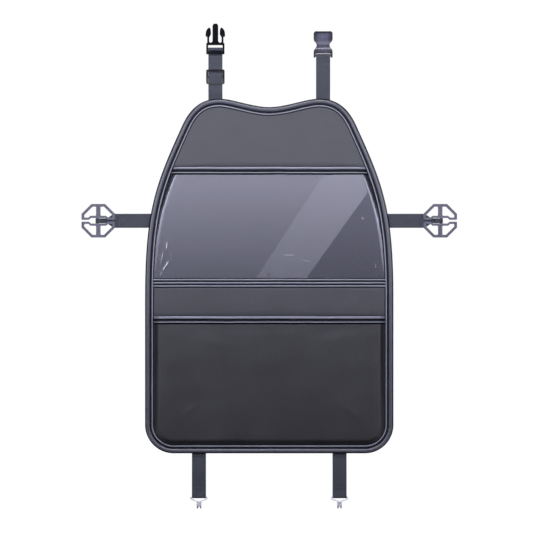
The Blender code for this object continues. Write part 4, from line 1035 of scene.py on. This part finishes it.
def make_trim():
    bottom = WINDOW_SEAM - TRIM_HEIGHT
    pitch = TRIM_HEIGHT / TRIM_RIDGES
    section = [(TRIM_BACK, bottom), (TRIM_FRONT - 0.3 * MM, bottom + 0.1 * MM)]
    slots = [HIGHLIGHTED_RIDGE]
    grooves = []
    for number in range(TRIM_RIDGES):
        middle = bottom + pitch * (number + 0.5)
        ridge = arc((TRIM_FRONT, middle), TRIM_RIDGE_RADIUS, -100, 100, 10)
        section += ridge
        grooves.append(middle + pitch / 2)
        section.append((TRIM_FRONT - 0.25 * MM, min(grooves[-1], WINDOW_SEAM - 0.1 * MM)))
        slots += [SHADED_GROOVE] * 2 + [HIGHLIGHTED_RIDGE] * (len(ridge) - 3) + [SHADED_GROOVE] * 2
    section.append((TRIM_BACK, WINDOW_SEAM))
    slots += [SHADED_GROOVE, HIGHLIGHTED_RIDGE]
    rows = []
    for depth, z in section:
        x = float(half_width(z, SEAM_INSET)) * np.linspace(-1, 1, 180)
        sway = 0.12 * MM * waves(x, 0 * x, (103, 57), 2.3)
        rows.append(np.stack([x, np.full(len(x), -depth), z + sway], axis=1))
    points = np.stack(rows, axis=1)
    piece = grid_mesh("dressed_window_trim", points, ring_columns=True, caps=2, slots=slots)
    finish_piece(outward(piece), TRIM_FINISHES, "panel", "leatherette", "window_lower_trim")
    for number, z in enumerate(grooves[:-1]):
        ends = float(half_width(z, SEAM_INSET))
        line = [(-ends, -TRIM_FRONT + 0.25 * MM, z), (ends, -TRIM_FRONT + 0.25 * MM, z)]
        stitch_row(f"trim_stitches_{number + 1}", line)


make_trim()


# %% The lower pocket
def edge_distance(x, z):
    """The distance inside the panel's outline, below the place where its sides become upright."""
    from_corner_x = np.abs(x) - (HALF_WIDTH - CORNER_RADIUS)
    from_corner_z = (PANEL_BOTTOM + CORNER_RADIUS) - z
    outside = np.hypot(np.maximum(from_corner_x, 0), np.maximum(from_corner_z, 0))
    return CORNER_RADIUS - outside - np.minimum(np.maximum(from_corner_x, from_corner_z), 0)


POCKET_FOOT_SHARE = 0.45
POCKET_HEIGHT = POCKET_TOP - HEM_HEIGHT - PANEL_BOTTOM
POCKET_SAG = 0.8 * MM
SAG_SPAN = 250 * MM


def pocket_lean(z):
    """The pocket stands off fully at its mouth and a little less toward its foot."""
    return POCKET_FOOT_SHARE + (1 - POCKET_FOOT_SHARE) * np.clip((z - PANEL_BOTTOM) / POCKET_HEIGHT, 0, 1)


# Start, end, width and height of each fold in millimetres
POCKET_CREASES = [
    ((-170, -262), (-120, -226), 7.0, 0.5),
    ((172, -260), (118, -228), 7.0, 0.5),
    ((-150, -110), (-60, -128), 10.0, 0.35),
    ((70, -122), (160, -108), 10.0, 0.35),
    ((-60, -290), (60, -292), 6.0, 0.3),
]


def make_pocket():
    low = PANEL_BOTTOM + SEWN_INSET
    turn = low + CORNER_RADIUS
    curve = np.linspace(0, math.pi / 2, 70)
    heights = np.concatenate([
        low + (turn - low) * (1 - np.cos(curve))[:-1],
        np.linspace(turn, POCKET_TOP - 2 * HEM_BEAD, 80),
    ])
    shares = across_shares(240, 0.45)
    foot = HALF_WIDTH - CORNER_RADIUS
    reach = CORNER_RADIUS - SEWN_INSET
    drop = np.clip(PANEL_BOTTOM + CORNER_RADIUS - heights, 0, reach)
    widths = foot + np.sqrt(reach**2 - drop**2)
    x = widths[:, None] * shares[None, :]
    z = np.broadcast_to(heights[:, None], x.shape)
    inside = edge_distance(x, z)
    beyond = inside - SEAM_INSET
    lift = rise(beyond, POCKET_BULGE) * pocket_lean(z)
    settled = smooth_step(beyond, 2 * MM, 26 * MM)
    for start, end, width, height in POCKET_CREASES:
        lift = lift + crease(x, z, start, end, width, height) * settled
    hem_hold = smooth_step(POCKET_TOP - 14 * MM - z, 0, 22 * MM)
    sag = POCKET_SAG * np.sin(np.clip((z - PANEL_BOTTOM) / SAG_SPAN, 0, 1) * math.pi)
    lift = lift + settled * hem_hold * (sag + 0.25 * MM * waves(x, z, (131, 83, 57), 0.2))
    depth = FLANGE_DEPTH + POCKET_THICKNESS / 2 + lift
    piece = grid_mesh("dressed_lower_pocket", np.stack([x, -depth, z], axis=2))
    outward(piece)
    thicken(piece, POCKET_THICKNESS)
    finish_piece(piece, [SHADED_POCKET_VINYL], "panel", "leatherette", "lower_pocket")


make_pocket()

# %% [markdown]
# ## Straps
#
# Each strap is swept along the path that its webbing takes: out of the binding, round a bar and back behind
# itself. The paths repeat those of the frame's straps with more points. A strap's section is a flat band
# with slightly thicker selvedges, and the cloth map runs along it, so the weave follows every bend.

# %% Strap paths and their sweep
STRAP_WIDTH = 25.6 * MM
STRAP_THICKNESS = 1.2 * MM
STRAP_DEPTH = 1.8 * MM
STRAP_SEWN_LENGTH = 20 * MM
PAST_EDGE = 1 * MM
STRAP_SETTLES = 38 * MM
LOOP_CLOSES = 13 * MM
LOOP_TAIL = 18 * MM
LOOP_SEAMS = (4 * MM, 14 * MM)
SHORT_STITCH = {"pitch": 2.6 * MM, "length": 2.0 * MM}
STITCH_HALF_ROW = 10.5 * MM
LAYER_STEP = STRAP_THICKNESS + GAP
UPPER_X = 98 * MM
LOWER_X = 128 * MM
SIDES = ((-1, "left"), (1, "right"))
MALE_BAR_RADIUS = 1.6 * MM
FEMALE_BAR_RADIUS = 1.8 * MM
DISC_BAR_RADIUS = 2.2 * MM
WIRE_RADIUS = 1.25 * MM
SECTION_COLUMNS = 25


def joint_place(name):
    """Depth and height of a joint's axis, from the frame."""
    joint = next(joint for joint in frame["joints"] if joint["name"] == name)
    return (-joint["pos_m"][1], joint["pos_m"][2])


def loop_radius(bar_radius):
    return bar_radius + GAP + STRAP_THICKNESS / 2


def ease(start, end, steps=20):
    """A flat S between two places, level at both ends along the second axis."""
    t = np.arange(1, steps + 1) / steps
    blend = t * t * (3 - 2 * t)
    first = start[0] + (end[0] - start[0]) * blend
    second = start[1] + (end[1] - start[1]) * t
    return list(zip(first, second))


def band_section():
    """Shares across the band and half thicknesses, round one closed section."""
    half = np.linspace(-1, 1, SECTION_COLUMNS)
    round_off = np.sqrt(np.clip(1 - np.abs(half) ** 16, 0, 1)) * 0.55 + 0.25
    selvedge = 0.12 * np.exp(-(((np.abs(half) - 0.93) / 0.05) ** 2))
    thick = STRAP_THICKNESS / 2 * (round_off + 0.14 + selvedge)
    return half, thick


def sweep_strap(name, node, path, across, widths=None):
    """A band along a path of 3-D points. across is the direction of its width."""
    path = np.asarray(path, float)
    shares, thick = band_section()
    if widths is None:
        widths = np.full(len(path), STRAP_WIDTH)
    even, run = evenly_spaced(np.column_stack([path, widths]), 0.9 * MM)
    centre, width = even[:, :3], even[:, 3]
    along = unit(np.gradient(centre, axis=0))
    across = np.array(across, float)
    normal = unit(np.cross(along, across))
    squeeze = 1 - width / STRAP_WIDTH
    fold = 0.5 * MM * squeeze[:, None] * np.cos(shares[None, :] * math.pi * 3)
    middle = centre[:, None, :] + across * (shares[None, :, None] * width[:, None, None] / 2)
    middle = middle + normal[:, None, :] * fold[:, :, None]
    front = middle + normal[:, None, :] * thick[None, :, None]
    back = middle - normal[:, None, :] * thick[None, :, None]
    points = np.concatenate([front, back[:, ::-1]], axis=1)
    cloth_across = np.concatenate([shares, shares[::-1]]) * STRAP_WIDTH / 2
    piece = grid_mesh(name, points, ring_columns=True, caps=2, cloth=(run, cloth_across))
    outward(piece)
    finish_piece(piece, [WEBBING], "panel", "webbing", node)


def upright(x, path):
    """Depth and height pairs as 3-D points."""
    return [(x, -depth, z) for depth, z in path]


print("strap tools ready")

# %% The left upper strap, through the slider and the male buckle
SLIDER_BACK = 1.6 * MM
SLIDER_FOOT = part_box("strap_slider")[0].z
TAIL_BELOW_SLIDER = 6 * MM
SLIDER_RISE = 13 * MM
TURN = 0.9 * MM
BACK_TURN = 1.5 * MM
SIDEWAYS = (1.0, 0.0, 0.0)


def make_upper_left_strap():
    """Up behind the buckle's lower bar, over its middle bar, and down behind through the slider."""
    depth = SLIDER_BACK + GAP + STRAP_THICKNESS + GAP + STRAP_THICKNESS / 2
    tail_depth = depth - LAYER_STEP
    bar = joint_place("male_tilt")
    loop = loop_radius(MALE_BAR_RADIUS)
    path = [(STRAP_DEPTH, PANEL_TOP - STRAP_SEWN_LENGTH), (STRAP_DEPTH, PANEL_TOP + PAST_EDGE)]
    path += ease(path[-1], (depth, PANEL_TOP + SLIDER_RISE))
    path += arc((depth + TURN, bar[1] - loop - TURN), TURN, 180, 90, 8)
    path += arc(bar, loop, -90, 90, 24)
    path += arc((tail_depth + BACK_TURN, bar[1] + loop - BACK_TURN), BACK_TURN, 90, 180, 8)
    path.append((tail_depth, SLIDER_FOOT - TAIL_BELOW_SLIDER))
    sweep_strap("dressed_upper_strap_left", "upper_strap_left", upright(-UPPER_X, path), SIDEWAYS)


make_upper_left_strap()


# %% Straps that loop round a bar
def make_looped_strap(name, node, x, edge, outward_sign, bar, bar_radius):
    """Out from the panel, round a bar and back behind itself, where it is sewn."""
    depth = bar[0] + LAYER_STEP / 2
    loop = loop_radius(bar_radius)
    settle = bar[1] - outward_sign * LOOP_CLOSES
    path = [(STRAP_DEPTH, edge + outward_sign * past_edge) for past_edge in (-STRAP_SEWN_LENGTH, PAST_EDGE)]
    path += ease(path[-1], (depth, edge + outward_sign * STRAP_SETTLES))
    path.append((depth, settle))
    path += ease(path[-1], (bar[0] + loop, bar[1]), 12)[:-1]
    path += arc(bar, loop, 0, 180 * outward_sign, 24)
    path += ease((bar[0] - loop, bar[1]), (bar[0] - LAYER_STEP / 2, settle), 12)
    path.append((bar[0] - LAYER_STEP / 2, settle - outward_sign * LOOP_TAIL))
    sweep_strap(name, node, upright(x, path), SIDEWAYS)
    front = depth + STRAP_THICKNESS / 2
    for number, back in enumerate(LOOP_SEAMS):
        z = settle - outward_sign * back
        line = [(x + half_row, -front, z) for half_row in (-STITCH_HALF_ROW, STITCH_HALF_ROW)]
        stitch_row(f"{name}_stitches_{number + 1}", line, **SHORT_STITCH)


female_bar = joint_place("female_tilt")
make_looped_strap(
    "dressed_upper_strap_right", "upper_strap_right", UPPER_X, PANEL_TOP, 1, female_bar, FEMALE_BAR_RADIUS
)
for side, word in SIDES:
    hook_bar = joint_place(f"{word}_hook_swing")
    node = f"lower_strap_{word}"
    make_looped_strap(f"dressed_{node}", node, side * LOWER_X, PANEL_BOTTOM, -1, hook_bar, WIRE_RADIUS)

# %% The side straps, gathered into the discs
SIDE_Z = 100.5 * MM
DISC_MIDDLE = 311 * MM
GATHERED_WIDTH = 8.8 * MM
GATHER_START = 12 * MM
GATHER_END = 31 * MM
SIDE_TAIL = 4 * MM
BAR_PAST_MIDDLE = 1.5 * MM


def gathered_width(distance):
    """The strap's width at a distance from the disc's middle."""
    return GATHERED_WIDTH + (STRAP_WIDTH - GATHERED_WIDTH) * smooth_step(distance, GATHER_START, GATHER_END)


def make_side_strap(side, word):
    """Out from the panel, gathered, round the disc's bar and back through its keyhole."""
    loop = loop_radius(DISC_BAR_RADIUS)
    bar = (-BAR_PAST_MIDDLE, STRAP_DEPTH + loop)
    sewn_depth = STRAP_DEPTH + LAYER_STEP
    edge = DISC_MIDDLE - float(half_width(SIDE_Z, 0.0))
    path = [(edge + STRAP_SEWN_LENGTH, STRAP_DEPTH), (edge, STRAP_DEPTH)]
    path += [(distance, STRAP_DEPTH) for distance in np.linspace(GATHER_END, GATHER_START, 24)]
    path += arc(bar, loop, -90, -270, 24)
    for depth, distance in ease((bar[1] + loop, bar[0] + 3 * MM), (sewn_depth, 12.5 * MM)):
        path.append((distance, depth))
    path += [(distance, sewn_depth) for distance in np.linspace(GATHER_START + 1 * MM, GATHER_END, 24)]
    path.append((GATHER_END + SIDE_TAIL, sewn_depth))
    places = [(side * (DISC_MIDDLE - distance), -depth, SIDE_Z) for distance, depth in path]
    widths = np.array([float(gathered_width(distance)) for distance, depth in path])
    sweep_strap(f"dressed_side_strap_{word}", f"side_strap_{word}", places, (0.0, 0.0, 1.0), widths)
    x = side * (DISC_MIDDLE - GATHER_END + 0.5 * MM)
    front = sewn_depth + STRAP_THICKNESS / 2
    line = [(x, -front, SIDE_Z + half_row) for half_row in (-STITCH_HALF_ROW, STITCH_HALF_ROW)]
    stitch_row(f"side_strap_{word}_stitches", line, **SHORT_STITCH)


for side, word in SIDES:
    make_side_strap(side, word)

# %% [markdown]
# ## Hardware
#
# The buckle, slider, discs and hooks already have their true shapes in the frame. They keep them, and get a
# fine bevel where a mould leaves one, and their finishes. Each hook also has a sleeve crimped round its neck,
# which is too small to matter to the frame, so it is made here and rides on its hook.

# %% Finishes on the rigid pieces
BEVEL_WIDTH = 0.3 * MM
BEVEL_FROM_DEGREES = 40
HARD_FINISHES = {
    "strap_slider": ACETAL,
    "male_buckle": ACETAL,
    "female_buckle": ACETAL_WITH_PAINTED_DISH_SHEEN,
    "anchor_disc_left": NYLON,
    "anchor_disc_right": NYLON,
    "wire_hook_left": WIRE,
    "wire_hook_right": WIRE,
}
for node_name, finish in HARD_FINISHES.items():
    node = NODES[node_name]
    node.data.materials.clear()
    node.data.materials.append(finish)
    if finish != WIRE:
        bevel = node.modifiers.new("mould_edge", "BEVEL")
        bevel.width = BEVEL_WIDTH
        bevel.segments = 2
        bevel.limit_method = "ANGLE"
        bevel.angle_limit = math.radians(BEVEL_FROM_DEGREES)
print("rigid pieces finished:", len(HARD_FINISHES))

# %% Sleeves crimped round the hooks' necks
SLEEVE_TOP = -409.6 * MM
SLEEVE_FOOT = -420.0 * MM
SLEEVE_HALF_WIDTH = 4.3 * MM
SLEEVE_HALF_DEPTH = 1.55 * MM


def make_sleeve(side, word):
    """A flattened tube round both wires of a hook, with rolled ends."""
    depth = joint_place(f"{word}_hook_swing")[0]
    turn = np.linspace(0, 2 * math.pi, 49)[:-1]
    across = SLEEVE_HALF_WIDTH * np.sign(np.cos(turn)) * np.abs(np.cos(turn)) ** 0.5
    out = SLEEVE_HALF_DEPTH * np.sign(np.sin(turn)) * np.abs(np.sin(turn)) ** 0.7
    rows = []
    for share in np.linspace(0, 1, 15):
        roll = 1 - 0.18 * abs(2 * share - 1) ** 8
        z = SLEEVE_TOP + (SLEEVE_FOOT - SLEEVE_TOP) * share
        x = side * LOWER_X + across * roll
        rows.append(np.stack([x, out * roll - depth, np.full(len(turn), z)], axis=1))
    piece = grid_mesh(f"hook_sleeve_{word}", np.stack(rows), ring_columns=True, caps=2)
    finish_piece(outward(piece), [WIRE], f"{word}_hook", "steel_wire")


for side, word in SIDES:
    make_sleeve(side, word)
print("hook sleeves crimped")

# %% [markdown]
# ## Camera
#
# The photo is a straight front view from far away, and the object is in front of a seamless white ground. The
# camera stands four metres off, and its lens is chosen so that one pixel covers as much as in the photo.

# %% Camera
CAMERA_X = -5 * MM
CAMERA_Z = 17.3 * MM
CAMERA_DISTANCE = 4.0
SENSOR_MM = 36
PICTURE_PIXELS = 533
PIXEL_MM = 1.822
VIEW_SIDE = PICTURE_PIXELS * PIXEL_MM * MM
camera = bpy.data.cameras.new("camera")
camera.sensor_width = SENSOR_MM
camera.lens = SENSOR_MM * CAMERA_DISTANCE / VIEW_SIDE
camera_object = bpy.data.objects.new("camera", camera)
camera_object.location = (CAMERA_X, -CAMERA_DISTANCE, CAMERA_Z)
camera_object.rotation_euler = (math.radians(90), 0, 0)
bpy.context.scene.collection.objects.link(camera_object)
bpy.context.scene.camera = camera_object
print("lens", round(camera.lens, 1), "mm")

# %% [markdown]
# ## Light
#
# The world is white where the camera, a mirror or clear film sees it, and a plain grey for the light it
# casts. The soft light is a big card in front, bright at its top and dim at its foot. It is a card and not a
# lamp, since the film and the plastic mirror its shape: the film's slanted band is a lighter band on the
# card, and the places on it are worked out where the film would mirror them. A small high card draws the
# light lines along hems and binding, black flags keep their edges dark, and a card behind lights the
# backing. A pale floor far below carries the object's shadow.

# %% Tools for the world, the cards and the floor
def world_light(strength):
    """White to look at, and a plain grey light on everything."""
    world = bpy.data.worlds.new("studio")
    bpy.context.scene.world = world
    world.use_nodes = True
    tree = world.node_tree
    path = add_node(tree, "ShaderNodeLightPath").outputs
    seen = math_node(tree, "MAXIMUM", path["Is Camera Ray"], path["Is Glossy Ray"])
    seen = math_node(tree, "MAXIMUM", seen, path["Is Transmission Ray"])
    light = ranged(tree, seen, 0.0, 1.0, strength, 1.0)
    feed(tree, tree.nodes["Background"], {"Color": (1, 1, 1, 1), "Strength": light})


def card(name, centre, low, high, turn, material, shadow=False):
    """A flat card between two corners, shown to light and mirrors but not to the camera."""
    corners = [(low[0], 0, low[1]), (high[0], 0, low[1]), (high[0], 0, high[1]), (low[0], 0, high[1])]
    piece = mesh_piece(name, corners, [(0, 1, 2, 3)])
    piece.data.materials.append(material)
    piece.location = centre
    piece.rotation_euler = [math.radians(angle) for angle in turn]
    piece.visible_camera = False
    piece.visible_shadow = shadow


def lit_by(name, colour, strength_of):
    """A card's material, whose strength is a number or comes from a function of its shader tree."""
    def surface(tree):
        strength = strength_of(tree) if callable(strength_of) else strength_of
        return add_node(tree, "ShaderNodeEmission", {"Color": linear(colour), "Strength": strength})
    return surface_material(name, surface)


def past(tree, x, z, slope, edge):
    """From 0 to 1 on passing a slanted edge of the band, with a slope and its place at height 0."""
    away = minus(tree, x, times(tree, z, slope))
    return ranged(tree, away, edge - BAND_SOFTNESS, edge + BAND_SOFTNESS, 0.0, 1.0)


def front_strength(tree):
    """Bright at the top, dim at the foot, with the slanted band and the dimmer field beside it."""
    place = parts_of(tree, place_of(tree))
    x = math_node(tree, "DIVIDE", place["X"], REFLECTION_SCALE)
    z = math_node(tree, "DIVIDE", place["Z"], REFLECTION_SCALE)
    climb = math_node(tree, "POWER", ranged(tree, z, FOOT_Z, TOP_Z, 0.0, 1.0), CLIMB_POWER)
    below_edge = ranged(tree, z, EDGE_Z - EDGE_SOFTNESS, EDGE_Z + EDGE_SOFTNESS, 1.0, ABOVE_EDGE)
    main = times(tree, times(tree, climb, FRONT_BRIGHT), below_edge)
    beside = math_node(tree, "ABSOLUTE", x)
    strip_start = ranged(tree, beside, *STRIP_STARTS, 0.0, 1.0)
    strip_end = ranged(tree, beside, *STRIP_ENDS, 0.0, 0.9)
    side = times(tree, minus(tree, strip_start, strip_end), SIDE_BRIGHT)
    ground = ranged(tree, z, GROUND_Z - GROUND_SOFTNESS, GROUND_Z + GROUND_SOFTNESS, GROUND_BRIGHT, FRONT_DIM)
    base = plus(tree, main, plus(tree, side, ground))
    film_z = plus(tree, z, FILM_LEAN_SHIFT)
    past_left = past(tree, x, film_z, BAND_LEFT_SLOPE, BAND_LEFT_X)
    past_right = past(tree, x, film_z, BAND_RIGHT_SLOPE, BAND_RIGHT_X)
    right_field = times(tree, past_right, ranged(tree, x, *RIGHT_FIELD_FADES, 1.0, 0.0))
    dimmed = minus(tree, 1.0, times(tree, right_field, RIGHT_FIELD_DIMMING))
    lifted = times(tree, minus(tree, past_left, past_right), BAND_LIFT)
    return plus(tree, times(tree, base, dimmed), lifted)


def make_floor():
    """A pale floor that looks a little paler to the camera, and keeps the object's shadow."""
    corners = [(x, y, FLOOR_Z) for x, y in ((-2, -1), (2, -1), (2, 1), (-2, 1))]
    piece = mesh_piece("floor", corners, [(0, 1, 2, 3)])
    material, tree, shader = new_material("pale_floor", {"Base Color": linear("#e8e8ea"), "Roughness": 0.9})
    seen = add_node(tree, "ShaderNodeLightPath").outputs["Is Camera Ray"]
    glow = times(tree, seen, FLOOR_GLOW)
    feed(tree, shader, {"Emission Color": (1, 1, 1, 1), "Emission Strength": glow})
    piece.data.materials.append(material)


print("light tools ready")

# %% Places and strengths of the light
# Places on the front card are given in metres where the film mirrors them
FILM_DEPTH = FLANGE_DEPTH + FILM_THICKNESS / 2 + FILM_BULGE / 2
FRONT_DISTANCE = 0.9
REFLECTION_SCALE = 1 + FRONT_DISTANCE / (CAMERA_DISTANCE - FILM_DEPTH)
FILM_LEAN = math.atan(FILM_BULGE / (WINDOW_TOP - WINDOW_SEAM))
FILM_LEAN_SHIFT = FRONT_DISTANCE * math.tan(2 * FILM_LEAN) / REFLECTION_SCALE
FOOT_Z = -0.235
TOP_Z = 0.26
CLIMB_POWER = 1.8
FRONT_BRIGHT = 5.6
EDGE_Z = 0.332
EDGE_SOFTNESS = 0.006
ABOVE_EDGE = 0.02
GROUND_Z = -0.40
GROUND_SOFTNESS = 0.02
GROUND_BRIGHT = 0.15
SIDE_BRIGHT = 1.3
STRIP_STARTS = (0.40, 0.46)
STRIP_ENDS = (0.66, 0.76)
FRONT_DIM = 0.03
BAND_LEFT_SLOPE = 0.649
BAND_RIGHT_SLOPE = 0.710
BAND_LEFT_X = -5 * MM
BAND_RIGHT_X = 88 * MM
BAND_SOFTNESS = 0.7 * MM
BAND_LIFT = 0.7
RIGHT_FIELD_DIMMING = 0.6
RIGHT_FIELD_FADES = (0.25, 0.45)
WORLD_STRENGTH = 0.45
HIGH_STRENGTH = 19.0
HIGH_PLACE = (-0.06, -0.78, 0.98)
HIGH_TILT = -48
BACK_STRENGTH = 1.2
FLAG_X = 0.75
FLOOR_Z = -0.6
FLOOR_GLOW = 0.5
print("a metre on the film mirrors", round(REFLECTION_SCALE, 3), "m of the front card")

# %% The world, the cards and the floor
world_light(WORLD_STRENGTH)
make_floor()
front_light = lit_by("front_softbox", "#eeeeff", front_strength)
front_centre = (CAMERA_X, -FILM_DEPTH - FRONT_DISTANCE, CAMERA_Z)
card("front_card", front_centre, (-3.0, -0.6), (3.0, 1.1), (0, 0, 0), front_light, shadow=True)
high_light = lit_by("high_softbox", "#f6f6ff", HIGH_STRENGTH)
card("high_card", HIGH_PLACE, (-0.45, -0.09), (0.45, 0.09), (HIGH_TILT, 0, 0), high_light)
black_flag = lit_by("black_flag", "#000000", 0.0)
for side in (-1, 1):
    card(f"flag_{side}", (side * FLAG_X, 0.0, 0.0), (-0.3, -0.5), (0.7, 0.5), (0, 0, 90), black_flag)
card("top_flag", (0, 0.1, 0.85), (-1.0, -0.6), (1.0, 0.6), (90, 0, 0), black_flag)
card("foot_flag", (0, -0.1, -0.56), (-0.45, -0.25), (0.45, 0.25), (90, 0, 0), black_flag)
back_light = lit_by("back_softbox", "#f4f4f6", BACK_STRENGTH)
card("back_card", (0, 1.3, 0.2), (-1.4, -0.75), (1.4, 0.9), (0, 0, 0), back_light)
bpy.context.scene.view_settings.view_transform = "Standard"
print("light ready")
